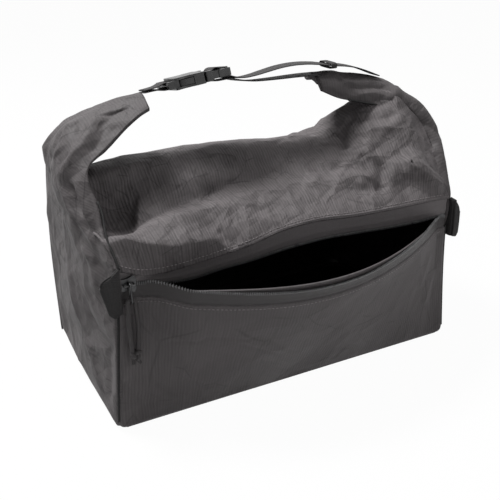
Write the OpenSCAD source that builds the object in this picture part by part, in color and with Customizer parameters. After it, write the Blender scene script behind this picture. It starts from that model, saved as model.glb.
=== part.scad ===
// Roll-top hanging toiletry bag with a full-width zip, a carrying handle made of the two
// ends of the rolled top, and a side-release buckle with an adjustable strap.
// X runs left to right, Y front to back, Z up. The origin is the middle of the base.

/* [Bag] */
// Width of the bag at its base
bag_w = 280; // [230:5:340]
// Depth of the bag from front to back
bag_d = 152; // [138:2:190]
// Height of the front panel up to the zip
front_h = 95.5; // [80:0.5:120]
// Thickness of the cloth walls
cloth_t = 1.6; // [1.2:0.1:2.2]
// How far the open mouth's lower edge leans out, in degrees
mouth_lean = 25.5; // [10:0.5:32]
// How much higher than the zip the back wall turns in
back_rise = 13.5; // [4:0.5:20]

/* [Zip] */
// Height of zip between front panel and top panel
zip_h = 21; // [18:1:26]
// Distance from one tooth to the next
tooth_pitch = 2.5; // [2:0.5:5]
// Distance of each zip stop from the side of the bag
zip_inset = 7; // [6:1:16]
// Length of the slider
slider_l = 9.6; // [8:0.2:14]
// Width of the webbing tab at each end of the zip
tab_w = 25; // [20:1:32]
// Reach of the tabs past the side of the bag
tab_reach = 5; // [3:1:12]

/* [Pull] */
// Thickness of the wire loop on the slider
wire_d = 1.1; // [0.8:0.1:1.4]
// Height of the wire loop
wire_l = 11; // [8:0.5:16]
// Thickness of the pull cord
cord_d = 3; // [2.4:0.2:3.6]
// Length of each cord strand between wire and knot
cord_l = 36; // [24:1:44]

/* [Rolled top] */
// Depth of the roll from front to back
roll_d = 60; // [50:1:66]
// Height of the roll
roll_h = 46; // [44:1:50]
// Number of turns rolled
roll_turns = 3; // [2:0.5:3]
// Distance from one layer of the roll to the next
roll_pitch = 5.6; // [5:0.1:5.8]
// Distance from each end of the roll to the side of the bag
roll_inset = 20; // [15:1:45]

/* [Handle] */
// Height of the arms' turning axis above the top of the zip
axis_rise = 33.5; // [28:0.5:38]
// Distance of the handle behind the middle of the bag
handle_back = 8; // [0:1:10]
// Radius of the round root on which each arm leans
root_r = 48; // [40:1:50]
// Width of the arms' ends
arm_tip_w = 26; // [20:1:34]
// Thickness of the arms' rolled ends
arm_tip_t = 7; // [5:0.5:9]

/* [Webbing and buckle] */
// Width of the strap webbing
web_w = 15; // [12:1:18]
// Thickness of the strap webbing
web_t = 1.1; // [0.8:0.1:1.3]
// Place of the buckle's mouth to the left of the middle
buckle_left = 37; // [30:1:45]
// Height of the buckle above the arms' axis
buckle_up = 59; // [54:1:66]
// Slope of the buckle in degrees
buckle_slope = 8; // [0:1:10]
// Turn of the buckle about its own length in degrees
buckle_roll = -10; // [-14:1:0]
// Thickness of the buckle's shell
buckle_t = 8; // [7.4:0.2:10]
// Thickness of the shell's top and bottom plates
plate_t = 1.6; // [1.2:0.1:1.8]
// How far the latch hooks stand out past the side walls
hook_depth = 1.8; // [1.2:0.1:1.8]

/* [Hidden] */
$fn = 48;

gap = 0.3;                        // running gap between neighbours
overlap = 0.5;                    // how far joined shapes run into each other
half_w = bag_w / 2;
half_d = bag_d / 2;
zip_top = front_h + zip_h;
axis_z = zip_top + axis_rise;     // the arms' turning axis runs along X at this height
axis_y = handle_back;

cloth_side = "#5b595a";
cloth_front = "#3c3a3b";
cloth_roll = "#4a4748";
webbing_grey = "#2e2d2e";
moulded = "#343334";
metal_dark = "#6a6a6c";

// ---- shared shapes ------------------------------------------------------------------

function heading(a, b) = (b - a) / norm(b - a);
function left_of(d) = [-d[1], d[0]];

// Sideways step at point i of a line, long enough to keep the strip's width at a corner
function mitre(p, i) =
    let (last = len(p) - 1,
        before = left_of(heading(p[max(i - 1, 0)], p[max(i, 1)])),
        after = left_of(heading(p[min(i, last - 1)], p[min(i + 1, last)])),
        both = before + after)
    2 * both / (both * both);

// Outline of a strip of thickness t whose middle follows the points p
function strip(p, t) = concat(
    [for (i = [0 : len(p) - 1]) p[i] + mitre(p, i) * t / 2],
    [for (i = [len(p) - 1 : -1 : 0]) p[i] - mitre(p, i) * t / 2]);

function arc(centre, r, from, to, steps) =
    [for (k = [0 : steps]) let (a = from + (to - from) * k / steps)
        centre + r * [cos(a), sin(a)]];

function smooth(t) = let (c = min(max(t, 0), 1)) c * c * (3 - 2 * c);

// Closed skin over a row of rings with the same number of points each, which run clockwise
// as seen from the row's far end
module skin(rings) {
    n = len(rings[0]);
    m = len(rings);
    polyhedron(
        points = [for (r = rings) each r],
        faces = concat(
            [[for (j = [n - 1 : -1 : 0]) j]],
            [for (i = [0 : m - 2], j = [0 : n - 1])
                let (a = i * n + j, b = i * n + (j + 1) % n)
                each [[a, b + n, a + n], [a, b, b + n]]],
            [[for (j = [0 : n - 1]) (m - 1) * n + j]]));
}

// Profile in Y and Z carried along X, centred on the middle of the bag
module along_x(length) {
    rotate([90, 0, 90]) linear_extrude(length, center = true) children();
}

// Profile in X and Z carried along Y
module along_y(length) {
    rotate([90, 0, 0]) linear_extrude(length, center = true) children();
}

// ---- walls of the bag ---------------------------------------------------------------

wall_gap = gap;                   // gap between neighbouring cloth walls
inside_w = bag_w - 2 * (cloth_t + wall_gap);
inside_d = bag_d - 2 * (cloth_t + wall_gap);

module base_panel() {
    color(cloth_front) linear_extrude(cloth_t) square([inside_w, inside_d], center = true);
}

// The mouth's lower edge is a parabola: straight at both ends, furthest out in the middle
mouth_half = half_w - zip_inset - slider_l - 4.2;
function lean(x) = mouth_lean * max(0, 1 - pow(x / mouth_half, 2));
// Point on the leaning front: x across, l up the cloth, out in front of its outer face
function front_point(x, l, out) =
    [x, -half_d - l * sin(lean(x)) - out * cos(lean(x)),
        l * cos(lean(x)) - out * sin(lean(x))];
front_steps = 12;
front_xs = concat([-half_w],
    [for (k = [0 : front_steps]) -mouth_half + 2 * mouth_half * k / front_steps],
    [half_w]);

module front_panel() {
    color(cloth_front) skin([for (x = front_xs)
        [front_point(x, 0, 0), front_point(x, front_h, 0),
            front_point(x, front_h, -cloth_t), front_point(x, 0, -cloth_t)]]);
}

roll_y = axis_y - 5;
roll_z = axis_z - 10;
// The top panel runs from the zip's upper seam back to the front of the roll
top_panel_end = [roll_y - roll_d / 2 - gap - cloth_t / 5, roll_z - 0.2];
top_panel_w = inside_w;

module upper_front_panel() {
    start = [-half_d + cloth_t / 2, zip_top];
    sag = [0.5, -1.2];
    color(cloth_roll) along_x(top_panel_w)
        polygon(strip([start, (start + top_panel_end) / 2 + sag, top_panel_end], cloth_t));
}

module back_panel() {
    y = half_d - cloth_t / 2;
    turn_in = zip_top + back_rise;
    wall = [[y, 0], [y, turn_in - 6], [y - 2, turn_in - 1], [y - 6, turn_in + 1.5]];
    end = [roll_y + (roll_d - roll_pitch) / 2 + gap, roll_z - 3];
    color(cloth_side) along_x(top_panel_w) polygon(strip(concat(wall, [end]), cloth_t));
}

// Side wall with a round cut-out in which the arm's root leans back and forth
module gusset() {
    y = half_d - cloth_t - wall_gap;
    shoulder = root_r + 5;
    rotate([90, 0, 90]) linear_extrude(cloth_t) difference() {
        polygon([[-y, 0], [y, 0], [y, zip_top + back_rise], [axis_y + shoulder, axis_z],
            [axis_y - shoulder + 2, axis_z - 2], [-(y + axis_y + shoulder) / 2 + 12, axis_z - 19],
            [-y, zip_top]]);
        translate([axis_y, axis_z]) circle(root_r + gap, $fn = 96);
    }
}
module left_gusset() {
    color(cloth_side) translate([-half_w, 0, 0]) gusset();
}
module right_gusset() {
    color(cloth_side) translate([half_w - cloth_t, 0, 0]) gusset();
}

// Bound seam allowances inside the bag: folded tape along the base and up the corners
binding_w = 8;
binding_t = 1.8;
module base_binding() {
    h = 3;
    color(webbing_grey) translate([0, 0, cloth_t + gap]) difference() {
        linear_extrude(h) square([inside_w, inside_d], center = true);
        translate([0, 0, -overlap]) linear_extrude(h + 2 * overlap)
            square([inside_w - 2 * binding_t, inside_d - 2 * binding_t], center = true);
    }
}
module corner_bindings() {
    low = cloth_t + 3 + 2 * gap;
    corner = [inside_w / 2 - 3.4, inside_d / 2 - 3.4];
    color(webbing_grey) for (sx = [-1, 1], sy = [-1, 1])
        translate([sx * corner[0], sy * corner[1], low])
            rotate(sx * sy * 45)
                translate([-binding_w / 2, -binding_t / 2, 0])
                    cube([binding_w, binding_t, front_h - 6 - low]);
}

// ---- rolled top ---------------------------------------------------------------------

// Flattened spiral: both half-widths shrink by one pitch for each turn
roll_cloth_t = 2 * cloth_t;
roll_start = 180;                 // degrees, at the front where the top panel meets it
function roll_point(a, inward) =
    let (shrink = roll_pitch * (a - roll_start) / 360 + inward)
    [roll_y + (roll_d / 2 - shrink) * cos(a), roll_z + (roll_h / 2 - shrink) * sin(a)];
roll_step = 15;
roll_end = roll_start + 360 * roll_turns;
roll_l = bag_w - 2 * roll_inset;

module rolled_top() {
    outer = [for (a = [roll_start : roll_step : roll_end]) roll_point(a, 0)];
    inner = [for (a = [roll_end : -roll_step : roll_start]) roll_point(a, roll_cloth_t)];
    color(cloth_roll) along_x(roll_l) polygon(concat(outer, inner));
}

// Flat strip sewn into the mouth's hem, at the heart of the roll
module roll_stiffener() {
    core = roll_pitch * (floor(roll_turns - 0.25) + 0.38) + roll_cloth_t;
    room_d = roll_d / 2 - core;
    room_h = roll_h / 2 - core;
    w = 1.1 * room_d;
    floor_at = -room_h * sqrt(1 - pow(w / 2 / room_d, 2)) + gap;
    color(moulded) along_x(roll_l - 10)
        translate([roll_y - w / 2, roll_z + floor_at]) square([w, 1.5]);
}

// ---- zip ----------------------------------------------------------------------------

zip_end = half_w - zip_inset;     // where the teeth stop
zip_mid = front_h + zip_h / 2;    // height at which the two rows of teeth meet
tape_t = 0.7;
coil_t = 2.1;
coil_w = 2.0;
tooth_reach = 1.4;
tooth_w = 1.1;
zip_out = -cloth_t / 2;           // the zip lies in the middle of the cloth's thickness
seam_gap = 0.2;
slider_x = -(zip_end - slider_l / 2 - 2.6);
// Past the slider's wedge the two rows stand this much apart on each side
part_by = 1.5;
function parted(x) = part_by * smooth((x - slider_x - 0.6) / 2.6);
// Across the zip: even steps, with more of them where the rows part
zip_xs = [for (x = [-zip_end, slider_x, slider_x + 1.2, slider_x + 2.4, slider_x + 3.6])
    x];
zip_open_xs = [for (x = front_xs) if (x > slider_x + 6 && x < zip_end - 1) x];
tape_xs = concat(zip_xs, zip_open_xs, [zip_end]);

coil_foot = zip_h / 2 - coil_w - tooth_reach / 2 - 0.25;  // from seam to the coil's outer edge
module zip_tape_lower() {
    color(webbing_grey) skin([for (x = tape_xs)
        let (l0 = front_h + seam_gap, l1 = front_h + coil_foot - parted(x) - seam_gap,
            o0 = zip_out - tape_t / 2, o1 = zip_out + tape_t / 2)
        [front_point(x, l0, o1), front_point(x, l1, o1),
            front_point(x, l1, o0), front_point(x, l0, o0)]]);
}
module zip_tape_upper() {
    y = -half_d - zip_out;
    color(webbing_grey) skin([for (x = tape_xs)
        let (z1 = zip_top - cloth_t / 2 - seam_gap, z0 = zip_top - coil_foot + parted(x) + seam_gap)
        [[x, y - tape_t / 2, z0], [x, y - tape_t / 2, z1],
            [x, y + tape_t / 2, z1], [x, y + tape_t / 2, z0]]]);
}

// Row of teeth: a bar whose meeting edge steps out by one tooth in every pitch
tooth_count = floor((2 * zip_end - 4) / tooth_pitch);
tooth_x0 = -tooth_count * tooth_pitch / 2;
function comb_edge(shift) = [for (k = [0 : tooth_count - 1], s = [0 : 3])
    let (x = tooth_x0 + (k + shift) * tooth_pitch + [0, 0.001, tooth_w, tooth_w + 0.001][s])
    [x, (s == 1 || s == 2) ? tooth_reach : 0]];
module zip_coil_lower() {
    color(moulded) skin([for (e = comb_edge(0))
        let (l0 = front_h + coil_foot - parted(e[0]), l1 = l0 + coil_w + e[1],
            o0 = zip_out - coil_t / 2, o1 = zip_out + coil_t / 2)
        [front_point(e[0], l0, o1), front_point(e[0], l1, o1),
            front_point(e[0], l1, o0), front_point(e[0], l0, o0)]]);
}
module zip_coil_upper() {
    y = -half_d - zip_out;
    color(moulded) skin([for (e = comb_edge(0.5))
        let (z1 = zip_top - coil_foot + parted(e[0]), z0 = z1 - coil_w - e[1])
        [[e[0], y - coil_t / 2, z0], [e[0], y - coil_t / 2, z1],
            [e[0], y + coil_t / 2, z1], [e[0], y + coil_t / 2, z0]]]);
}

// Crimped stop across both rows at each end
module zip_stops() {
    stop_l = 1.6;
    color(metal_dark) for (s = [-1, 1])
        translate([s * (zip_end + gap + stop_l / 2), -half_d - zip_out, zip_mid])
            cube([stop_l, coil_t + 0.6, 2 * coil_w + 1], center = true);
}

// Webbing folded in half over the end of the zip and sewn to the front
tab_t = 1.1;
tab_droop = 8;                    // degrees by which each tab's free end hangs
module end_tab() {
    r = tab_t / 2 + 0.25;
    inner = 5;
    loop = concat([[-inner, -r]], arc([tab_reach - r, 0], r, -90, 90, 8), [[-inner, r]]);
    rotate([0, tab_droop, 0]) translate([0, 0, -tab_w / 2])
        linear_extrude(tab_w) polygon(strip(loop, tab_t));
}
tab_y = -half_d - gap - tab_t - 0.25;
module zip_end_tab_left() {
    color(webbing_grey) translate([-half_w, tab_y, zip_mid - 6]) mirror([1, 0, 0]) end_tab();
}
module zip_end_tab_right() {
    color(webbing_grey) translate([half_w, tab_y, zip_mid - 6]) end_tab();
}

// ---- slider and pull ----------------------------------------------------------------

plate = 0.9;                      // thickness of the slider's two plates
channel = coil_t / 2 + gap;       // half depth of the slider's channel
lip_slot = tape_t / 2 + gap;      // half width of the slot the tapes run in
slider_rear = coil_w + tooth_reach / 2 + 1.35;
slider_front = slider_rear + part_by;
slider_outline = [[-slider_l / 2, -slider_rear], [-0.6, -slider_rear],
    [slider_l / 2 - 1.4, -slider_front], [slider_l / 2, -slider_front + 1.6],
    [slider_l / 2, slider_front - 1.6], [slider_l / 2 - 1.4, slider_front],
    [-0.6, slider_rear], [-slider_l / 2, slider_rear]];
lip = 0.8;
slider_channel = [[-slider_l, -slider_rear + lip], [-0.8, -slider_rear + lip],
    [slider_l / 2 - 1.6, -slider_front + lip], [slider_l, -slider_front + lip],
    [slider_l, slider_front - lip], [slider_l / 2 - 1.6, slider_front - lip],
    [-0.8, slider_rear - lip], [-slider_l, slider_rear - lip]];
rod_r = 0.6;
// The wire hangs on the arch's rod, and turns about it
pivot_out = channel + plate + gap + wire_d + gap + rod_r;
zip_y = -half_d - zip_out;

module slice(y0, y1) {            // outline in X and Z between two depths
    translate([0, y1, 0]) rotate([90, 0, 0]) linear_extrude(y1 - y0) children();
}
module slider_body() {
    wedge = [[slider_l / 2 - 2.6, 0], [slider_l / 2 - 0.8, -part_by + 0.5],
        [slider_l / 2, -part_by + 0.5], [slider_l / 2, part_by - 0.5],
        [slider_l / 2 - 0.8, part_by - 0.5]];
    arch_foot = slider_l / 2 - 1.6;
    color(metal_dark) translate([slider_x, zip_y, zip_mid]) {
        for (s = [-1, 1]) {
            slice(s * (channel + plate / 2) - plate / 2, s * (channel + plate / 2) + plate / 2)
                polygon(slider_outline);
            lip_mid = s * (channel + lip_slot) / 2;
            lip_half = (channel - lip_slot) / 2;
            slice(lip_mid - lip_half, lip_mid + lip_half) difference() {
                polygon(slider_outline);
                polygon(slider_channel);
            }
        }
        slice(-channel - plate / 2, channel + plate / 2) polygon(wedge);
        // arch over the outer plate: two feet and a rod along the slider
        for (s = [-1, 1]) translate([s * arch_foot, 0, 0]) {
            translate([0, -channel - plate / 2, 0]) rotate([90, 0, 0])
                cylinder(r = rod_r, h = pivot_out - channel - plate / 2);
            translate([0, -pivot_out, 0]) sphere(rod_r);
        }
        translate([-arch_foot, -pivot_out, 0]) rotate([0, 90, 0])
            cylinder(r = rod_r, h = 2 * arch_foot);
    }
}

pull_y = zip_y - pivot_out;       // the pull's turning axis
eye_r = wire_d / 2 + gap + rod_r; // the wire's bend over the rod
foot_r = cord_d / 2 + gap + wire_d / 2;
inner_leg = pull_y + eye_r;
foot_y = inner_leg - foot_r;
foot_z = zip_mid - wire_l + foot_r;

module half_ring(r, wire) {       // upper half of a wire ring in the Y and Z plane
    rotate([90, 0, 90]) rotate_extrude(angle = 180) translate([r, 0]) circle(wire / 2);
}
module rod_between(a, b, d) {
    v = b - a;
    translate(a) rotate([atan2(-v[1], v[2]), 0, 0]) cylinder(d = d, h = norm(v));
}
module pull_wire() {
    tops = [pull_y - eye_r, inner_leg];
    feet = [foot_y - foot_r, inner_leg];
    color(metal_dark) translate([slider_x, 0, 0]) {
        translate([0, pull_y, zip_mid]) half_ring(eye_r, wire_d);
        translate([0, foot_y, foot_z]) mirror([0, 0, 1]) half_ring(foot_r, wire_d);
        for (i = [0, 1]) {
            rod_between([0, feet[i], foot_z], [0, tops[i], zip_mid], wire_d);
            translate([0, feet[i], foot_z]) sphere(d = wire_d);
            translate([0, tops[i], zip_mid]) sphere(d = wire_d);
        }
    }
}

// Bight of the cord through the foot of the wire loop
bight_r = wire_d / 2 + gap + cord_d / 2;
bight_z = foot_z - foot_r;
module pull_hitch() {
    color(webbing_grey) translate([slider_x, foot_y, bight_z])
        rotate([90, 0, 0]) rotate_extrude(angle = 180) translate([bight_r, 0])
            circle(d = cord_d);
}

// The cord hangs down from the hitch, turns inside the knot and comes back up.
// Places along it: across, outwards from the hitch, and down, as shares of cord_l for down
cord_route = [[-1, 0, 0], [-1.03, 0.1, 0.14], [-1.08, 0.2, 0.28], [-1.1, 0.3, 0.42],
    [-1.05, 0.3, 0.56], [-0.95, 0.3, 0.7], [-0.85, 0.3, 0.84], [-0.8, 0.3, 0.94],
    [-0.5, 0.3, 1.02], [0, 0.3, 1.06], [0.5, 0.3, 1.02], [0.8, 0.3, 0.94],
    [0.95, 0.3, 0.84], [1.15, 0.3, 0.7], [1.3, 0.3, 0.56], [1.35, 0.3, 0.42],
    [1.25, 0.2, 0.28], [1.1, 0.1, 0.14], [1, 0, 0]];
cord_points = [for (p = cord_route)
    [slider_x + p[0] * bight_r, foot_y - p[1], bight_z - 0.12 - p[2] * cord_l]];
function unit(v) = v / norm(v);
function along(p, i) = unit(p[min(i + 1, len(p) - 1)] - p[max(i - 1, 0)]);
module tube(points, d, sides) {
    skin([for (i = [0 : len(points) - 1])
        let (t = along(points, i), across = unit(cross([0, 1, 0], t)), up = cross(t, across))
        [for (k = [0 : sides - 1])
            points[i] + d / 2 * (cos(360 * k / sides) * across - sin(360 * k / sides) * up)]]);
}
module pull_cord() {
    color(webbing_grey) tube(cord_points, cord_d, 8);
}
module pull_knot() {
    color(webbing_grey) translate([slider_x, foot_y - 0.5, bight_z - cord_l]) {
        translate([0, 0, 2.6]) rotate([0, 84, 0]) rotate_extrude() translate([2.4, 0]) circle(1.9);
        translate([0, 0, 0.2]) sphere(3.9);
        translate([0, 0, -1.6]) rotate([0, 96, 0]) rotate_extrude() translate([2.2, 0]) circle(1.8);
    }
}

// ---- handle -------------------------------------------------------------------------

buckle_at = [-buckle_left, axis_y, axis_z + buckle_up];
module at_buckle() {
    translate(buckle_at) rotate([buckle_roll, -buckle_slope, 0]) children();
}
// The same placing for single points
function from_buckle(p) =
    let (y = p[1] * cos(buckle_roll) - p[2] * sin(buckle_roll),
        z = p[1] * sin(buckle_roll) + p[2] * cos(buckle_roll))
    buckle_at + [p[0] * cos(buckle_slope) - z * sin(buckle_slope), y,
        p[0] * sin(buckle_slope) + z * cos(buckle_slope)];

socket_end = -28;                 // the buckle's left end, measured from its mouth
bar_x = socket_end + 1.5;
loop_end = bar_x - 15;            // where the left webbing goes into the arm
left_tip = from_buckle([loop_end - gap - arm_tip_t / 5, 0, 0]);
right_tip = [half_w - 82, 0, axis_z + 53.5];

// Places along an arm: how far in from the side, how high above the axis,
// front and back reach as shares of the root's radius, and thickness
function left_places() = let (x = half_w + left_tip[0], z = left_tip[2] - axis_z) [
    [0.8, -5, 0.74, 0.9, cloth_t - 0.4], [0.9, 3, 0.76, 0.93, cloth_t - 0.4],
    [1.1, 11, 0.78, 0.92, cloth_t], [6.4, 21, 0.72, 0.86, cloth_t + 2.4],
    [0.3 * x, z - 23, 0.64, 0.72, arm_tip_t - 1], [0.53 * x, z - 15.5, 0.55, 0.6, arm_tip_t],
    [0.77 * x, z - 7.5, 0.42, 0.46, arm_tip_t], [x, z, 0, 0, arm_tip_t]];
function right_places() = let (x = half_w - right_tip[0], z = right_tip[2] - axis_z) [
    [0.8, -5, 0.74, 0.9, cloth_t - 0.4], [0.2, 3, 0.76, 0.93, cloth_t - 0.4],
    [-1.8, 12, 0.78, 0.93, cloth_t + 1], [-1.2, 22, 0.75, 0.87, cloth_t + 2.4],
    [4, 32, 0.68, 0.76, arm_tip_t - 2], [0.17 * x, z - 14, 0.6, 0.66, arm_tip_t - 1],
    [0.35 * x, z - 9.5, 0.52, 0.56, arm_tip_t], [0.57 * x, z - 3.4, 0.44, 0.48, arm_tip_t],
    [0.8 * x, z - 1, 0.36, 0.38, arm_tip_t], [x, z, 0, 0, arm_tip_t]];

ring_sides = 16;
function blunt(c) = sign(c) * pow(abs(c), 0.55);
function arm_front(p) = max(p[2] * root_r, arm_tip_w / 2);
function arm_back(p) = max(p[3] * root_r, arm_tip_w / 2);
// One ring of an arm; side is -1 on the left and 1 on the right
function arm_ring(places, i, side) =
    let (p = places[i], last = len(places) - 1,
        a = places[max(i - 1, 0)], b = places[min(i + 1, last)],
        t = unit([b[0] - a[0], b[1] - a[1]]),
        half = (arm_front(p) + arm_back(p)) / 2, mid = (arm_back(p) - arm_front(p)) / 2)
    [for (k = [0 : ring_sides - 1])
        let (c = blunt(cos(360 * k / ring_sides)), s = blunt(sin(360 * k / ring_sides)),
            off = p[4] / 2 * s)
        [side * (half_w - p[0] + off * t[1]), axis_y + mid + half * c,
            axis_z + p[1] + off * t[0]]];
module arm(places, side) {
    rings = [for (i = [0 : len(places) - 1]) arm_ring(places, i, side)];
    if (side > 0) skin(rings);
    else skin([for (r = rings) [for (k = [ring_sides - 1 : -1 : 0]) r[k]]]);
    // round root: the lower part of a disc in the plane of the side wall
    translate([side * (half_w - cloth_t / 2), axis_y, axis_z]) rotate([90, 0, 90])
        linear_extrude(cloth_t, center = true) difference() {
            circle(root_r, $fn = 96);
            translate([-2 * root_r, 4]) square([4 * root_r, 2 * root_r]);
        }
}
module left_arm() {
    color(cloth_side) arm(left_places(), -1);
}
module right_arm() {
    color(cloth_side) arm(right_places(), 1);
}

// Webbing through the socket's bar, both ends sewn into the left arm
bar_r = 1.5;
module left_web_loop() {
    r = bar_r + gap + web_t / 2;
    near = web_t / 2 + 0.2;
    path = concat([[loop_end, -near], [bar_x - 7, -near - 0.3], [bar_x - 2, -r]],
        arc([bar_x, 0], r, -90, 90, 10),
        [[bar_x - 2, r], [bar_x - 7, near + 0.3], [loop_end, near]]);
    color(webbing_grey) at_buckle() along_y(web_w) polygon(strip(path, web_t));
}

// Flat band along points [x, z, roll], each cross-section turned about the band's length
module band(route) {
    points = [for (p = route) [p[0], p[1]]];
    skin([for (i = [0 : len(route) - 1])
        let (m = mitre(points, i) * web_t / 2, c = cos(route[i][2]) * web_w / 2,
            s = sin(route[i][2]) * web_w / 2)
        [[points[i][0] - m[0], axis_y - c, points[i][1] - m[1] - s],
            [points[i][0] + m[0], axis_y - c, points[i][1] + m[1] - s],
            [points[i][0] + m[0], axis_y + c, points[i][1] + m[1] + s],
            [points[i][0] - m[0], axis_y + c, points[i][1] - m[1] + s]]]);
}
plug_end = 19.5;                  // the plug's right end, measured from the mouth
main_under = buckle_t / 2 + 1.2;  // how far below the buckle's middle the strap leaves
tail_under = main_under - web_t - 0.6;
strap_from = plug_end + 0.9;
function strap_start(under) = let (p = from_buckle([strap_from, 0, -under])) [p[0], p[2]];
// Share of the way from the plug to the right arm, and drop below the straight line
function hang(from, to, places) = [for (p = places)
    [from[0] + p[0] * (to[0] - from[0]), from[1] + p[0] * (to[1] - from[1]) + p[1],
        buckle_roll * (1 - p[0])]];
module right_strap() {
    end = [right_tip[0] - gap, right_tip[2]];
    color(webbing_grey) band(hang(strap_start(main_under), end,
        [[0, 0], [0.07, -1.2], [0.15, -2.1], [0.26, -2.7], [0.4, -2.4], [0.55, -1.7],
            [0.7, -0.9], [0.85, -0.3], [1, 0]]));
}
// The tail rises over the keeper and lies along the right arm
keeper_x = right_tip[0] + 12;
arm_top = right_tip[2] + arm_tip_t / 2;
module strap_tail() {
    start = strap_start(tail_under);
    peak = [right_tip[0] + 1, arm_top + 4];
    rise = hang(start, peak, [[0, 0], [0.07, -1.7], [0.15, -2.6], [0.26, -2.2], [0.4, -0.6],
        [0.55, 1.1], [0.7, 1.8], [0.85, 1.4], [1, 0]]);
    lie = [[keeper_x, arm_top + 2.2, 0], [right_tip[0] + 24, arm_top + 1, 0],
        [right_tip[0] + 34, arm_top - 1, 0], [right_tip[0] + 44, arm_top - 4.2, 0],
        [right_tip[0] + 55, arm_top - 8.4, 0]];
    color(webbing_grey) band(concat(rise, lie));
}
module strap_keeper() {
    t = 0.8;
    color(webbing_grey) translate([keeper_x - 2.5, axis_y, arm_top + gap]) {
        h = 2.6 + web_t / 2 + 0.5 + t;
        rotate([90, 0, 90]) linear_extrude(5) difference() {
            translate([-web_w / 2 - gap - t, 0]) square([web_w + 2 * (gap + t), h]);
            translate([-web_w / 2 - gap, t]) square([web_w + 2 * gap, h - 2 * t]);
        }
    }
}

// ---- side-release buckle ------------------------------------------------------------
// Measured from the middle of the socket's mouth: x runs along the buckle to the right.

rail_in = web_w / 2 + 1;          // inside of the rails beside the webbing
half_body = rail_in + 3.8;        // half the buckle's width
body_x = bar_x + 4;               // where the socket's closed end begins
block_x = body_x + 3.1;           // where its hollow begins
cavity = buckle_t / 2 - plate_t;  // half height of the hollow
wall_in = half_body - 2.2;        // inside of the side walls by the mouth
wall_l = 8.6;                     // length of those walls
tongue_y = 1.8;
pivot_x = -1.1;                   // where a latch arm bends
arm_in = wall_in - 2.6;           // inside face of a latch arm
arm_out = wall_in - gap - 0.1;
head_x0 = -19.5 + 0.4;            // free end of a latch head
head_x1 = -wall_l - 0.4;          // the shoulder that catches behind the wall

module rounded_rect(x0, x1, half, r) {
    translate([x0 + r, -half + r]) square([x1 - x0 - 2 * r, 2 * half - 2 * r]);
    translate([x0, -half + r]) square([x1 - x0, 2 * half - 2 * r]);
    translate([x0 + r, -half]) square([x1 - x0 - 2 * r, 2 * half]);
    for (x = [x0 + r, x1 - r], y = [-half + r, half - r]) translate([x, y]) circle(r);
}
module slab(z0, z1) {
    translate([0, 0, z0]) linear_extrude(z1 - z0) children();
}

module buckle_socket() {
    scallop_r = 15;
    waist = 1.7;
    rib_w = 0.6;
    color(moulded) at_buckle() {
        // two plates, scalloped where finger and thumb reach the latches
        for (z = [-buckle_t / 2, buckle_t / 2 - plate_t]) slab(z, z + plate_t) difference() {
            rounded_rect(body_x, 0, half_body, 2);
            for (s = [-1, 1])
                translate([(head_x0 + head_x1) / 2, s * (half_body - waist + scallop_r)])
                    circle(scallop_r, $fn = 96);
        }
        difference() {
            slab(-cavity - overlap, cavity + overlap) {
                translate([body_x, -half_body + 2]) square([3.1, 2 * half_body - 4]);
                for (s = [-1, 1]) {
                    translate([-wall_l, s > 0 ? wall_in : -half_body])
                        square([wall_l - 1.2, half_body - wall_in]);
                    translate([block_x - overlap, s > 0 ? tongue_y + 0.4 : -tongue_y - 0.4 - rib_w])
                        square([12, rib_w]);
                }
            }
            // grip ribs along the outside of the side walls
            for (s = [-1, 1], z = [-1.5, 0, 1.5])
                translate([-wall_l - 1, s * half_body - 0.3, z - 0.3])
                    cube([wall_l, 0.6, 0.6]);
        }
        // rails and the bar that holds the webbing
        for (s = [-1, 1]) slab(-2.5, 2.5)
            translate([socket_end, s > 0 ? rail_in : -half_body])
                square([body_x - socket_end + overlap, half_body - rail_in]);
        translate([bar_x, half_body - 0.4, 0]) rotate([90, 0, 0])
            cylinder(r = bar_r, h = 2 * half_body - 0.8);
    }
}

ladder_x = 5.4;                   // first slot of the ladder
slot_l = 3.4;
mid_bar = 3.0;
slot_b = ladder_x + slot_l + mid_bar;
module buckle_plug() {
    collar = 0.4;
    color(moulded) at_buckle() {
        slab(-buckle_t / 2 + 0.4, buckle_t / 2 - 0.4) difference() {
            rounded_rect(collar, ladder_x, half_body, 0.9);
            translate([collar + 1.6, -rail_in]) square([ladder_x, 2 * rail_in]);
        }
        difference() {
            slab(-2.6, 2.6) difference() {
                rounded_rect(collar, plug_end, half_body - 0.2, 1.6);
                for (x = [ladder_x, slot_b])
                    translate([x, -rail_in]) square([slot_l, 2 * rail_in]);
            }
            // the bar between the slots is thinner than the rails
            for (s = [-1, 1]) translate([ladder_x + slot_l - overlap, -rail_in, s > 0 ? 1.8 : -2.8])
                cube([mid_bar + 2 * overlap, 2 * rail_in, 1]);
            // groove across each rail beside the bar
            for (s = [-1, 1]) translate([ladder_x + slot_l + 0.4, s * half_body - 0.8, -3])
                cube([0.9, 1.6, 6]);
        }
        // raised lip at the free end
        slab(2.6 - overlap, 3.5) translate([plug_end - 2.6, -rail_in]) square([1.8, 2 * rail_in]);
        // tongue that guides the plug into the socket
        slab(-cavity + 0.4, cavity - 0.4) translate([block_x + 2.5, -tongue_y])
            square([collar - block_x - 2.5 + overlap, 2 * tongue_y]);
    }
}

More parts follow.
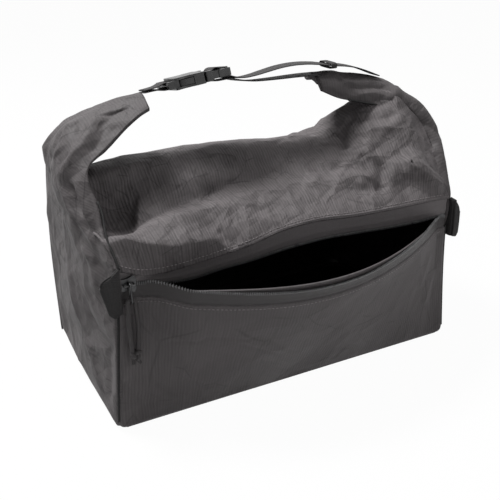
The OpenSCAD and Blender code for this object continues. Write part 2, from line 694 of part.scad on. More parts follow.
// Strap through the ladder: up the first slot, over the bar and down the second
module strap_wrap() {
    up_x = ladder_x + slot_l / 2;
    down_x = slot_b + slot_l / 2;
    over = 1.8 + gap + web_t;
    path = [[strap_from - 2 * gap, -main_under], [up_x + 3, -main_under + 0.5],
        [up_x + 0.7, -main_under + 1.3], [up_x, -2.4], [up_x, 2.2], [up_x + 0.6, over],
        [up_x + 1.8, over + 0.8], [(up_x + down_x) / 2, over + 1], [down_x - 1.8, over + 0.8],
        [down_x - 0.6, over], [down_x, 2.2], [down_x, -1.6], [down_x + 0.7, -2.8],
        [down_x + 2, -tail_under], [strap_from - 2 * gap, -tail_under]];
    color(webbing_grey) at_buckle() along_y(web_w) polygon(strip(path, web_t));
}

// Latch arm with a hooked head; side is -1 at the front and 1 at the back
module latch(side) {
    head_out = wall_in + hook_depth;
    h = 2 * (cavity - 0.4);
    root_y = (arm_in + arm_out) / 2;
    color(moulded) at_buckle() scale([1, side, 1]) difference() {
        slab(-h / 2, h / 2) {
            translate([pivot_x, root_y]) circle((arm_out - arm_in) / 2 - 0.1);
            polygon([[pivot_x, arm_in], [pivot_x, arm_out], [head_x1, arm_out],
                [head_x1, head_out], [head_x0 + 3.5, head_out], [head_x0, arm_out - 0.6],
                [head_x0, arm_in]]);
        }
        for (z = [-1.2, 0, 1.2]) translate([head_x0 + 3.5, head_out - 0.25, z - 0.25])
            cube([head_x1 - head_x0 - 4.5, 1, 0.5]);
    }
}
module latch_front() {
    latch(-1);
}
module latch_back() {
    latch(1);
}

base_panel();
front_panel();
upper_front_panel();
back_panel();
left_gusset();
right_gusset();
base_binding();
corner_bindings();
rolled_top();
roll_stiffener();
zip_tape_lower();
zip_tape_upper();
zip_coil_lower();
zip_coil_upper();
zip_stops();
zip_end_tab_left();
zip_end_tab_right();
slider_body();
pull_wire();
pull_hitch();
pull_cord();
pull_knot();
left_arm();
right_arm();
left_web_loop();
right_strap();
strap_tail();
strap_keeper();
buckle_socket();
buckle_plug();
strap_wrap();
latch_front();
latch_back();
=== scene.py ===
# %% [markdown]
# # A hanging toiletry bag, piece by piece
# The bag is a soft box of coated nylon. A zip runs across its front, its mouth is rolled
# shut on top, and two arms of folded cloth meet over it in a side-release buckle. The frame
# below brings in the measured model, with one body for each thing that moves, and every
# piece made here is laid over it in the same place.

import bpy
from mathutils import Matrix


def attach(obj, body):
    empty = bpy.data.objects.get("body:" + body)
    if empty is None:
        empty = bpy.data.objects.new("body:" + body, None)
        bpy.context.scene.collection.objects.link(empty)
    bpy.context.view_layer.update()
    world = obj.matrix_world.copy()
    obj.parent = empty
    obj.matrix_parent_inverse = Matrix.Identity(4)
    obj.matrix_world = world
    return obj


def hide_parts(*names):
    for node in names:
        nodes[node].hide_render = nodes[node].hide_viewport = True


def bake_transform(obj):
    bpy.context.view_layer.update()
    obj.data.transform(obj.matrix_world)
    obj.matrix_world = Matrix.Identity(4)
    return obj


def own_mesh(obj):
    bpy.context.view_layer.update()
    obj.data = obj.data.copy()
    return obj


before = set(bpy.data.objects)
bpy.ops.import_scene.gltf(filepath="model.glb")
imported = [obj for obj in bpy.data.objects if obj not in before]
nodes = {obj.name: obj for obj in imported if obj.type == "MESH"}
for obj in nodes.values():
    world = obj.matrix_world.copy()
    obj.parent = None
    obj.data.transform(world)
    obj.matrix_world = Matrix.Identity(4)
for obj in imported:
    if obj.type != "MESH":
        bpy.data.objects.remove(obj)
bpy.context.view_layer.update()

# %% [markdown]
# Lengths below are in millimetres, because cloth, thread and teeth are easier to judge in
# them, and they turn into metres only where points go into a mesh.

# %% Tools and units
import math

import bpy
import numpy as np

MM = 0.001  # metres to a millimetre
PATTERN = 100.0  # millimetres of flat cloth to one unit of its UV map

# %% [markdown]
# ## The camera
# It stands a little above the bag and to its left, about half a metre away, so that the
# front, the left side and the rolled top all show. The lens is a normal one.

# %% Camera
camera_data = bpy.data.cameras.new("camera")
camera_data.lens = 51.48
camera_data.sensor_width = 36.0
camera_data.clip_start = 0.01
camera = bpy.data.objects.new("camera", camera_data)
camera.location = (-0.24123, -0.45484, 0.30174)
camera.rotation_euler = (math.radians(90 - 24), 0, math.radians(-27.8))
bpy.context.scene.collection.objects.link(camera)
bpy.context.scene.camera = camera
print("camera at", tuple(round(c, 3) for c in camera.location))

# %% [markdown]
# ## Putting a surface into a mesh
# Every soft piece is a grid of points worked out from a formula. A cloth has two faces and a
# rim, so its grid is doubled: the outer face, the same face set back by the cloth's
# thickness, and a band of faces round the edge that closes it.

# %% Grids, shells and pieces
def unit(v):
    """Vectors divided by their lengths."""
    return v / np.maximum(np.linalg.norm(v, axis=-1, keepdims=True), 1e-12)


def normals(grid):
    """Across each grid point: the cross product of the steps along the two directions."""
    return unit(np.cross(np.gradient(grid, axis=0), np.gradient(grid, axis=1)))


def quads(index):
    """Four corners for each cell of a grid of point numbers."""
    corners = [index[:-1, :-1], index[1:, :-1], index[1:, 1:], index[:-1, 1:]]
    return np.stack(corners, -1).reshape(-1, 4)


def from_zero(steps):
    """Running total of the steps, starting from 0."""
    return np.concatenate([[0], np.cumsum(steps)])


def run_along(line):
    """Distance along a line from its start to each of its points."""
    return from_zero(np.linalg.norm(np.diff(line, axis=0), axis=-1))


def lengths(grid):
    """Distance run along both directions of a grid, in millimetres: its flat pattern."""
    across = np.linalg.norm(np.diff(grid, axis=0), axis=-1).mean(axis=1)
    along = np.linalg.norm(np.diff(grid, axis=1), axis=-1).mean(axis=0)
    return np.stack(np.meshgrid(from_zero(across), from_zero(along), indexing="ij"), -1)


def shell(outer, inner):
    """Closes two grids into one skin: outer face, inner face turned round, and the rim that
    joins their edges. Returns points, faces and the number of faces on the outside."""
    nu, nv = outer.shape[:2]
    o = np.arange(nu * nv).reshape(nu, nv)
    i = o + nu * nv
    edge = np.concatenate([o[:-1, 0], o[-1, :-1], o[:0:-1, -1], o[0, :0:-1]])
    after = np.roll(edge, -1)
    rim = np.stack([after, edge, edge + nu * nv, after + nu * nv], -1)
    faces = np.concatenate([quads(o), rim, quads(i)[:, ::-1]])
    points = np.concatenate([outer.reshape(-1, 3), inner.reshape(-1, 3)])
    return points, faces, len(quads(o)) + len(rim)


def piece(name, points, faces, flat=None, materials=(), inside_from=None):
    """A mesh object at the origin. flat holds the flat pattern of each point in millimetres,
    which becomes the UV map. Faces from inside_from on take the second material."""
    mesh = bpy.data.meshes.new(name)
    faces = faces.tolist() if isinstance(faces, np.ndarray) else faces
    mesh.from_pydata((np.asarray(points) * MM).tolist(), [], faces)
    if flat is not None:
        corner = np.empty(len(mesh.loops), np.int32)
        mesh.loops.foreach_get("vertex_index", corner)
        uv = np.asarray(flat).reshape(-1, 2)[corner] / PATTERN
        layer = mesh.uv_layers.new(name="pattern")
        layer.data.foreach_set("uv", uv.astype(np.float32).ravel())
    for m in materials:
        mesh.materials.append(m)
    if inside_from is not None and len(materials) > 1:
        which = np.zeros(len(mesh.polygons), np.int32)
        which[inside_from:] = 1
        mesh.polygons.foreach_set("material_index", which)
    mesh.polygons.foreach_set("use_smooth", np.ones(len(mesh.polygons), bool))
    mesh.update()
    obj = bpy.data.objects.new(name, mesh)
    bpy.context.scene.collection.objects.link(obj)
    return obj


def facing(grid, way):
    """The grid, turned over if it faces against the direction `way`."""
    return grid if (normals(grid) @ np.asarray(way, float)).mean() > 0 else grid[:, ::-1]


def cloth(name, outer, thick, materials):
    """A cloth with `outer` as its outer face, set back by `thick` along its normals."""
    inner = outer - normals(outer) * np.broadcast_to(thick, outer.shape[:2])[..., None]
    points, faces, outside = shell(outer, inner)
    flat = lengths(outer).reshape(-1, 2)
    obj = piece(name, points, faces, np.concatenate([flat, flat]), materials, outside)
    print(f"{name}: {len(faces)} faces")
    return obj


def settle(obj, slot, body, *stands_for):
    """Hides the model's nodes that the piece stands for and puts it on the body that carries
    it. The slot is not used."""
    if stands_for:
        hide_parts(*stands_for)
    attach(obj, body)


# %% [markdown]
# Smooth shapes come from a few measured points with a curve through them. A cubic piece
# between each pair of points keeps the direction of its neighbours, so the curve never kinks.

# %% Curves through points
def through(knots, values, at):
    """Smooth curve through values at the places knots: between two knots a cubic that meets
    both values with the slopes measured across their neighbours."""
    k, v, at = np.asarray(knots, float), np.asarray(values, float), np.asarray(at, float)
    slope = np.gradient(v, k, axis=0)
    i = np.clip(np.searchsorted(k, at, side="right") - 1, 0, len(k) - 2)
    h = k[i + 1] - k[i]
    shape = at.shape + (1,) * (v.ndim - 1)
    t, h = ((at - k[i]) / h).reshape(shape), h.reshape(shape)
    return ((2 * t**3 - 3 * t**2 + 1) * v[i] + (t**3 - 2 * t**2 + t) * h * slope[i]
            + (3 * t**2 - 2 * t**3) * v[i + 1] + (t**3 - t**2) * h * slope[i + 1])


def smooth(t):
    """0 below 0, 1 above 1, and an S between."""
    c = np.clip(t, 0, 1)
    return c * c * (3 - 2 * c)


def turned_in(distance, radius):
    """How far an edge has rolled under: a quarter circle over the last `radius` mm."""
    d = np.clip(distance, 0, radius)
    return radius - np.sqrt(radius**2 - (radius - d) ** 2)


# %% [markdown]
# ## Cords
# The zip's puller is a thin braided cord. It is looped through the foot of the wire in a
# hitch, and its two strands hang down into one knot.

# %% Cord route and tubes
slider_x, bight_r, foot_y, bight_z, cord_drop = -125.6, 2.35, -80.65, 95.0, 36.0
cord_route = np.array([
    [-1, 0, 0], [-1.03, 0.1, 0.14], [-1.08, 0.2, 0.28], [-1.1, 0.3, 0.42], [-1.05, 0.3, 0.56],
    [-0.95, 0.3, 0.7], [-0.85, 0.3, 0.84], [-0.8, 0.3, 0.94], [-0.5, 0.3, 1.02],
    [0, 0.3, 1.06], [0.5, 0.3, 1.02], [0.8, 0.3, 0.94], [0.95, 0.3, 0.84], [1.15, 0.3, 0.7],
    [1.3, 0.3, 0.56], [1.35, 0.3, 0.42], [1.25, 0.2, 0.28], [1.1, 0.1, 0.14], [1, 0, 0]])
cord_points = np.stack([slider_x + cord_route[:, 0] * bight_r, foot_y - cord_route[:, 1],
                        bight_z - 0.12 - cord_route[:, 2] * cord_drop], -1)


def tangents(line, closed):
    """Direction of a line at each point: from the point before it to the point after."""
    if closed:
        return unit(np.roll(line, -1, 0) - np.roll(line, 1, 0))
    return unit(np.gradient(line, axis=0))


def ring_numbers(rows, sides):
    """Point numbers of a stack of rings, each with its first point again at its end."""
    index = np.arange(rows * sides).reshape(rows, sides)
    return np.concatenate([index, index[:, :1]], 1)


def ring_faces(rows, sides, closed):
    """Faces over a stack of rings, turned outwards for rings that go clockwise as seen along
    the line. The last ring joins the first if the line is closed; if not, each end has a
    lid."""
    index = ring_numbers(rows, sides)
    if closed:
        return quads(np.concatenate([index, index[:1]]))[:, ::-1].tolist()
    lids = [index[0, -2::-1].tolist(), index[-1, :-1].tolist()]
    return quads(index)[:, ::-1].tolist() + lids


def tube(points, radius, sides=14, closed=False):
    """A round tube along points: at each one a ring of the given radius, square to the line.
    Returns points, faces and the flat pattern, with length along V and girth along U."""
    p = np.asarray(points, float)
    n = len(p)
    t = tangents(p, closed)
    frames = np.empty((n, 3))
    side = np.cross(t[0], [0.3, 0.9, 0.1])
    for k in range(n):
        side = side - t[k] * (side @ t[k])
        side = side / np.linalg.norm(side)
        frames[k] = side
    up = np.cross(t, frames)
    if closed:
        drift = math.atan2(frames[0] @ up[-1], frames[0] @ frames[-1])
        a = (np.arange(n) / n * drift)[:, None]
        frames, up = frames * np.cos(a) + up * np.sin(a), up * np.cos(a) - frames * np.sin(a)
    a = 2 * np.pi * np.arange(sides) / sides
    r = np.broadcast_to(radius, (n,))[:, None, None]
    c, s = np.cos(a)[None, :, None], np.sin(a)[None, :, None]
    ring = p[:, None] + r * (c * frames[:, None] + s * up[:, None])
    girth = np.abs(a - np.pi) * np.mean(radius)
    flat = np.stack(np.meshgrid(girth, run_along(p)), -1)
    return ring.reshape(-1, 3), ring_faces(n, sides, closed), flat.reshape(-1, 2)


def finer(points, steps):
    """The same line with `steps` points between each pair, on a smooth curve."""
    n = len(points)
    return through(np.arange(n), points, np.linspace(0, n - 1, (n - 1) * steps + 1))


print(f"cord: {run_along(cord_points)[-1]:.1f} mm from one side of the hitch to the other")

# %% [markdown]
# ## Finishes
# The cloth is a thin coated nylon that has been folded many times. Three things show on it:
# fine ribs of the weave, a web of hard creases where it has been crushed, and soft patches
# where the coating has rubbed. The ribs are striped light and dark with their relief, as
# painted light and shade, and the creases are darkened as painted shade. Each is a shader
# group, built once and used in every cloth.

# %% Node helpers
def feed(tree, node, inputs):
    """Sets each named input of a node to a value, or links it where the value is a socket."""
    for key, value in inputs.items():
        if isinstance(value, bpy.types.NodeSocket):
            tree.links.new(value, node.inputs[key])
        else:
            node.inputs[key].default_value = value
    return node


def add(tree, kind, settings, inputs):
    """A shader node with its settings and its inputs."""
    node = tree.nodes.new(kind)
    for key, value in settings.items():
        setattr(node, key, value)
    return feed(tree, node, inputs)


def math_node(tree, operation, a, b=0.0, c=0.0):
    """One sum on numbers: `operation` of a, b and, where it takes three, c."""
    return add(tree, "ShaderNodeMath", {"operation": operation}, {0: a, 1: b, 2: c}).outputs[0]


def times(tree, a, b, plus=0.0):
    """a times b, plus a third number."""
    return math_node(tree, "MULTIPLY_ADD", a, b, plus)


def scaled(tree, vector, by):
    """A vector times a number."""
    return add(tree, "ShaderNodeVectorMath", {"operation": "SCALE"},
               {0: vector, "Scale": by}).outputs[0]


def noise(tree, vector, scale, detail, output="Fac", **more):
    """Soft noise: `scale` blobs to a unit, with `detail` finer layers over them."""
    return add(tree, "ShaderNodeTexNoise", {},
               {"Vector": vector, "Scale": scale, "Detail": detail, **more}).outputs[output]


def spread(tree, value, low, high, to_low=0.0, to_high=1.0):
    """Stretches low..high to to_low..to_high and cuts off what is beyond."""
    return add(tree, "ShaderNodeMapRange", {"clamp": True}, {
        "Value": value, "From Min": low, "From Max": high,
        "To Min": to_low, "To Max": to_high}).outputs[0]


def new_group(name, outputs, **numbers):
    """An empty shader group that takes a Vector and the named numbers and gives numbers
    back. Returns the tree, what comes in, and the node for what goes out."""
    tree = bpy.data.node_groups.new(name, "ShaderNodeTree")
    sockets = tree.interface
    sockets.new_socket("Vector", in_out="INPUT", socket_type="NodeSocketVector")
    for label, value in numbers.items():
        socket = sockets.new_socket(label, in_out="INPUT", socket_type="NodeSocketFloat")
        socket.default_value = value
    for label in outputs:
        sockets.new_socket(label, in_out="OUTPUT", socket_type="NodeSocketFloat")
    return tree, tree.nodes.new("NodeGroupInput").outputs, tree.nodes.new("NodeGroupOutput")


def group(tree, kind, **inputs):
    """A shader group put to use; returns what it gives."""
    return add(tree, "ShaderNodeGroup", {"node_tree": kind}, inputs).outputs


# %% [markdown]
# A hard crease is where two slopes of a crushed sheet meet. Cells that each rise to a point
# give such slopes: every cell is a low pyramid, and two neighbours meet in a straight fold.
# Three sizes of cell together look like film that has been scrunched and smoothed out. Some
# of the folds are darkened as painted shade, and a soft noise decides which stretches of them show.

# %% Shared effects
def crushed_group():
    """Height of crushed film, its hairline creases for painted shade, and the patches where it
    has rubbed. Size is the width of its largest cells."""
    tree, inp, out = new_group("crushed film", ("Height", "Crease shade", "Patch"), Size=14.0)
    place = scaled(tree, inp["Vector"], math_node(tree, "DIVIDE", 1.0, inp["Size"]))
    turned = add(tree, "ShaderNodeVectorRotate", {"rotation_type": "EULER_XYZ"},
                 {"Vector": place, "Rotation": (0.6, 0.4, 0.9)}).outputs[0]
    wander = noise(tree, place, 1.1, 1.0, "Color")
    pushed = add(tree, "ShaderNodeVectorMath", {"operation": "MULTIPLY_ADD"},
                 {0: wander, 1: (0.3, 0.3, 0.3), 2: turned}).outputs[0]

    def cells(size, **settings):
        """Distance within cells, `size` of them to a unit."""
        return add(tree, "ShaderNodeTexVoronoi", settings,
                   {"Vector": pushed, "Scale": size}).outputs["Distance"]

    def crease_shade_line(size, width, scale):
        """1 on the edges of the cells, where a broader noise lets them show: where painted crease
        shade goes.
        """
        edge = spread(tree, cells(size, feature="DISTANCE_TO_EDGE"), 0.0, width, 1.0, 0.0)
        return times(tree, edge, spread(tree, noise(tree, turned, scale, 2.0), 0.5, 0.6))

    large, small, tiny = (cells(size, feature="F1", distance="MANHATTAN")
                          for size in (1.0, 2.2, 5.0))
    patch = noise(tree, place, 0.5, 4.0, Roughness=0.62)
    feed(tree, out, {
        "Height": times(tree, tiny, 0.05, times(tree, small, 0.3, large)),
        "Crease shade": math_node(tree, "MAXIMUM", crease_shade_line(0.9, 0.018, 1.3), crease_shade_line(2.0, 0.03, 2.2)),
        "Patch": spread(tree, patch, 0.33, 0.68)})
    return tree


def ribs_group():
    """Height of a weave with fine ribs, and stripes that are lighter on the raised ribs and
    streaks and darker between, as painted light and shade. Rib and Thread are their pitches.
    """
    tree, inp, out = new_group("ribbed weave", ("Height", "Rib light and shade"), Rib=2.2, Thread=0.45)
    split = add(tree, "ShaderNodeSeparateXYZ", {}, {0: inp["Vector"]}).outputs
    across = times(tree, noise(tree, inp["Vector"], 0.045, 2.0), 4.0, split["X"])

    def wave(value, pitch):
        """A sine that repeats every `pitch`."""
        turns = math_node(tree, "DIVIDE", value, pitch)
        return math_node(tree, "SINE", times(tree, turns, 2 * math.pi))

    rib = wave(across, inp["Rib"])
    stretched = add(tree, "ShaderNodeCombineXYZ", {}, {
        "X": times(tree, across, 1.1), "Y": times(tree, split["Y"], 0.035), "Z": 0.0}).outputs[0]
    streak = noise(tree, stretched, 1.0, 2.0, Roughness=0.6)
    threads = times(tree, wave(split["X"], inp["Thread"]), wave(split["Y"], inp["Thread"]))
    feed(tree, out, {
        "Height": times(tree, streak, 1.4, times(tree, rib, 0.5, times(tree, threads, 0.22))),
        "Rib light and shade": spread(tree, times(tree, rib, 0.14, streak), 0.2, 0.82)})
    return tree


def webbing_group():
    """Height of webbing, and a mask that is low in its grooves and high on its yarns for painted
    shade and light: two crossing twills over columns. Pitch is theirs.
    """
    tree, inp, out = new_group("webbing weave", ("Height", "Yarn light and shade"), Pitch=1.1)
    split = add(tree, "ShaderNodeSeparateXYZ", {}, {0: inp["Vector"]}).outputs

    def steps(value, shift):
        """A sine that repeats every pitch, moved on by a share of one."""
        turns = math_node(tree, "ADD", math_node(tree, "DIVIDE", value, inp["Pitch"]), shift)
        return math_node(tree, "SINE", times(tree, turns, 2 * math.pi))

    u, v = split["X"], split["Y"]
    twill = steps(math_node(tree, "ADD", u, v), 0.0)
    counter = steps(math_node(tree, "SUBTRACT", u, v), 0.25)
    columns = steps(times(tree, u, 0.5), 0.0)
    both = math_node(tree, "MAXIMUM", twill, counter)
    feed(tree, out, {"Height": times(tree, columns, 0.35, both),
                     "Yarn light and shade": spread(tree, both, -0.2, 0.9)})
    return tree


crushed, ribs, weave = crushed_group(), ribs_group(), webbing_group()
print("groups:", [g.name for g in bpy.data.node_groups])


# %% [markdown]
# Each finish then mixes a dark and a light of its own colour by those masks, and tips the
# surface with their heights. Colours are plain numbers for light reflected, so a dark grey
# cloth is about 0.08. Values that don't vary, such as how much it mirrors, are plain
# numbers on the shader.

# %% Cloth, webbing and hard finishes
def start_material(name):
    """A material with one plain shader; returns it, its tree and the shader."""
    material = bpy.data.materials.new(name)
    material.use_nodes = True
    tree = material.node_tree
    tree.nodes.clear()
    shader = tree.nodes.new("ShaderNodeBsdfPrincipled")
    add(tree, "ShaderNodeOutputMaterial", {}, {"Surface": shader.outputs[0]})
    return material, tree, shader


def pattern_place(tree):
    """The flat pattern of the cloth, in millimetres."""
    return scaled(tree, add(tree, "ShaderNodeUVMap", {"uv_map": "pattern"}, {}).outputs[0], PATTERN)


def object_place(tree):
    """Position on the piece itself, in millimetres."""
    return scaled(tree, tree.nodes.new("ShaderNodeTexCoord").outputs["Object"], 1 / MM)


def mix(tree, factor, a, b):
    """Colour a where the factor is 0, b where it is 1."""
    return add(tree, "ShaderNodeMix", {"data_type": "RGBA"},
               {"Factor": factor, "A": a, "B": b}).outputs["Result"]


def bump(tree, height, depth, **more):
    """Tips the surface as if it had that height, `depth` millimetres tall for a height of 1."""
    return add(tree, "ShaderNodeBump", {}, {
        "Height": height, "Strength": 1.0, "Distance": depth * MM, **more}).outputs[0]


def warm(level, tint=0.91):
    """A grey of that level with slightly less green and blue."""
    return (level, level * tint, level * (tint + 0.02), 1.0)


def cloth_finish(name, dark, light, crease_size, fold, rib_depth, crease_shade, rough=(0.56, 0.74)):
    """Coated cloth: striped from dark to light with the relief of its ribs, as painted light and
    shade, greyer where it has rubbed, and darkened by `crease_shade` on its creases as painted
    shade."""
    material, tree, shader = start_material(name)
    film = group(tree, crushed, Vector=object_place(tree), Size=crease_size)
    rib = group(tree, ribs, Vector=pattern_place(tree))
    # Painted light and shade: the tone is lighter on the raised ribs and streaks.
    tone = mix(tree, rib["Rib light and shade"], warm(dark), warm(light))
    share = spread(tree, film["Patch"], 0, 1, 0, 0.45)
    rubbed = mix(tree, share, tone, warm((dark + light) * 0.72))
    folded = bump(tree, film["Height"], fold * crease_size * 0.2)
    feed(tree, shader, {
        # Painted shade: the crease lines darken the colour.
        "Base Color": mix(tree, times(tree, film["Crease shade"], crease_shade), rubbed, warm(dark * 0.35)),
        "Roughness": spread(tree, film["Patch"], 0, 1, *rough),
        "Normal": bump(tree, rib["Height"], rib_depth, Normal=folded),
        "Specular IOR Level": 0.2})
    return material


def webbing_finish(name, dark, light, pitch=1.1, depth=0.14, rough=0.62):
    """Woven or braided yarn: dark in the grooves and light on the yarns, as painted shade and
    light, with a little fuzz.
    """
    material, tree, shader = start_material(name)
    out = group(tree, weave, Vector=pattern_place(tree), Pitch=pitch)
    fuzz = noise(tree, object_place(tree), 0.9, 3.0)
    tone = mix(tree, out["Yarn light and shade"], warm(dark), warm(light))
    feed(tree, shader, {
        "Base Color": mix(tree, spread(tree, fuzz, 0.35, 0.7, 0, 0.4), tone, warm(light * 1.35)),
        "Roughness": spread(tree, fuzz, 0.3, 0.7, rough - 0.1, rough + 0.12),
        "Normal": bump(tree, out["Height"], depth),
        "Specular IOR Level": 0.3})
    return material


def hard_finish(name, dark, light, rough, metallic=0.0):
    """Moulded or plated: a fine grain, broad patches, and lighter scuffs along X."""
    material, tree, shader = start_material(name)
    where = object_place(tree)
    grain = noise(tree, where, 1 / 0.35, 2.0)
    broad = noise(tree, where, 0.22, 4.0, Roughness=0.65)
    drawn_out = add(tree, "ShaderNodeVectorMath", {"operation": "MULTIPLY"},
                    {0: where, 1: (0.25, 2.4, 2.4)}).outputs[0]
    scuffs = spread(tree, noise(tree, drawn_out, 1.0, 3.0), 0.64, 0.72, 0, 0.35)
    tone = mix(tree, spread(tree, broad, 0.35, 0.66), warm(dark, 1.0), warm(light, 1.0))
    feed(tree, shader, {
        "Base Color": mix(tree, scuffs, tone, warm(light * 1.7, 1.0)),
        "Roughness": spread(tree, times(tree, scuffs, 0.4, broad), 0.3, 0.8, *rough),
        "Normal": bump(tree, grain, 0.03),
        "Metallic": metallic})
    return material


finish = {
    # The top, side and front cloths are one dark nylon. The top's lighter tones are painted light
    # and the sides' and front's darker ones painted shade, for how each faces the lamps.
    "top": cloth_finish("ribbed nylon, top, painted lighter", 0.055, 0.140, 32, fold=0.8, rib_depth=0.16, crease_shade=0.5),
    "side": cloth_finish("coated nylon, sides, painted darker", 0.046, 0.080, 36, fold=0.5, rib_depth=0.04,
                         crease_shade=0.6),
    "front": cloth_finish("coated nylon, front, painted darker", 0.054, 0.088, 60, fold=0.2, rib_depth=0.06,
                          crease_shade=0.35, rough=(0.5, 0.7)),
    # Painted shade: the inside faces are nearly black, far darker than the cloth, for the shade
    # inside the bag.
    "inside_shade": cloth_finish("inside, painted shade", 0.004, 0.008, 20, fold=0.2, rib_depth=0.02,
                           crease_shade=0.1, rough=(0.6, 0.75)),
    "webbing": webbing_finish("polyester webbing", 0.006, 0.018),
    "strap": webbing_finish("handle webbing", 0.008, 0.024, pitch=1.3, depth=0.18),
    # One zip tape in two tones: the lower tape is painted darker, as painted shade where it faces
    # up into the light, and the upper tape's outer face lighter, as painted light where it hangs in
    # shade.
    "tape": webbing_finish("zip tape", 0.026, 0.042, pitch=0.6, depth=0.04, rough=0.5),
    "band": webbing_finish("upper zip tape", 0.085, 0.135, pitch=0.6, depth=0.05, rough=0.6),
    "cord": webbing_finish("braided cord", 0.020, 0.060, pitch=0.9, depth=0.16),
    "thread": webbing_finish("bonded thread", 0.17, 0.30, pitch=0.4, depth=0.05),
    # Painted shade: a near-black cord that stands for the shade in the seams' grooves.
    "seam": webbing_finish("painted seam shade", 0.002, 0.005, pitch=0.8, depth=0.05, rough=0.7),
    "coil": hard_finish("nylon teeth", 0.08, 0.15, (0.25, 0.4)),
    "moulded": hard_finish("moulded acetal", 0.008, 0.016, (0.22, 0.42)),
    "metal": hard_finish("dark plated metal", 0.04, 0.08, (0.25, 0.4), metallic=1.0),
}
print("finishes:", ", ".join(finish))

# %% [markdown]
# ## Crumples
# Thin coated cloth doesn't wave, it breaks into flat facets. A height that is given at the
# corners of a net of triangles, and runs straight between them, does the same. The net is
# pulled about a little first, so that its triangles are all different.

# %% Facets, waves and folds
def waves(a, b, size, seed):
    """Smooth uneven heights: six sine waves of about that size, in directions, phases and
    lengths drawn from the seed, added together."""
    rng = np.random.default_rng(seed)
    turn, phase = rng.uniform(0, 2 * np.pi, (2, 6))
    length = size * rng.uniform(0.7, 1.5, 6)
    return sum(np.sin(2 * np.pi * (a * np.cos(t) + b * np.sin(t)) / l + p)
               for t, p, l in zip(turn, phase, length)) / 2.6


def facets(a, b, size, seed):
    """Heights from -1 to 1 on a net of triangles about `size` across, straight between its
    corners. Skewing the plane turns the triangles into squares cut along one diagonal."""
    rows, columns = 61, 67  # the net starts again after so many corners
    table = np.random.default_rng(seed).uniform(-1, 1, (rows, columns))
    a = a + size * 0.30 * waves(a, b, size * 2.3, seed + 1)
    b = b + size * 0.30 * waves(a, b, size * 2.3, seed + 2)
    skew = (a + b) * 0.366
    x, y = (a + skew) / size, (b + skew) / size
    i, j = np.floor(x).astype(int), np.floor(y).astype(int)
    fx, fy = x - i, y - j
    h = lambda di, dj: table[(i + di) % rows, (j + dj) % columns]
    right = h(0, 0) * (1 - fx) + h(1, 0) * (fx - fy) + h(1, 1) * fy
    left = h(0, 0) * (1 - fy) + h(0, 1) * (fy - fx) + h(1, 1) * fx
    return np.where(fx > fy, right, left)


def near_line(flat, line):
    """Distance on the flat cloth from every point to a broken line, and how far along the
    line, 0 to 1, its nearest place is."""
    line = np.asarray(line, float)
    best, place = np.full(flat.shape[:2], np.inf), np.zeros(flat.shape[:2])
    for k in range(len(line) - 1):
        a, v = line[k], line[k + 1] - line[k]
        t = np.clip(((flat - a) @ v) / (v @ v), 0, 1)
        d = np.linalg.norm(flat - a - t[..., None] * v, axis=-1)
        place = np.where(d < best, (k + t) / (len(line) - 1), place)
        best = np.minimum(d, best)
    return best, place


def folded(grid, folds):
    """Moves a grid along its normals at each fold (height, width, line on the flat cloth): a
    tent with a sharp crest, or trough where the height is negative, fading at both ends."""
    flat, push = lengths(grid), 0.0
    for height, width, line in folds:
        d, place = near_line(flat, line)
        fade = smooth(place / 0.2 + 0.15) * smooth((1 - place) / 0.2 + 0.15)
        push = push + height * np.clip(1 - d / width, 0, 1) ** 1.25 * fade
    return grid + normals(grid) * push[..., None]


def crumpled(grid, parts, keep=1.0):
    """Moves a grid along its normals by facets (size, height, seed), held back where keep is
    less than 1."""
    flat = lengths(grid)
    push = sum(h * facets(flat[..., 0], flat[..., 1], size, seed) for size, h, seed in parts)
    return grid + normals(grid) * (push * keep)[..., None]


# %% [markdown]
# ## The front
# The front is one panel of cloth. It stands straight at the corners, but its top edge is the
# lower lip of the zip, which has sagged open, so it leans out most in the middle. When the
# zip is closed the panel is pulled flat again. A hem runs on behind the zip tape, which keeps
# the panel whole when it is flat.

# %% Front panel
half_d = 76.0  # from the middle to the front of the base
seam_low = 95.6  # cloth below the zip's lower seam, at its ends
most_lean = np.radians(25.9)
thin = 1.3  # one layer of cloth


def left_edge(z):
    """Where the front's left edge stands: the sides draw in towards the zip."""
    return through([0, 25, 55, 80, 116, 130], [-139.6, -138, -135.8, -134, -132.6, -134], z)


def right_edge(z):
    """The same on the right."""
    return through([0, 25, 60, 94, 118, 130], [138.4, 135.4, 131.6, 129.2, 128.4, 131], z)


def lean_share(x):
    """Share of the most lean that the front has at x: a parabola with its top left of the
    middle, faded out towards the slider."""
    return np.clip(1 - ((x + 6) / 126) ** 2, 0, 1) * smooth((x + 122) / 30)


def front_at(x, l, out):
    """Place on the leaning front: across x, up the cloth l, and out from its face."""
    a = most_lean * lean_share(x)
    return np.stack([x, -half_d - l * np.sin(a) - out * np.cos(a),
                     l * np.cos(a) - out * np.sin(a)], -1)


def seam_l(x):
    """Length of cloth from the base up to the lower seam of the zip."""
    return seam_low + 2.4 * lean_share(x)


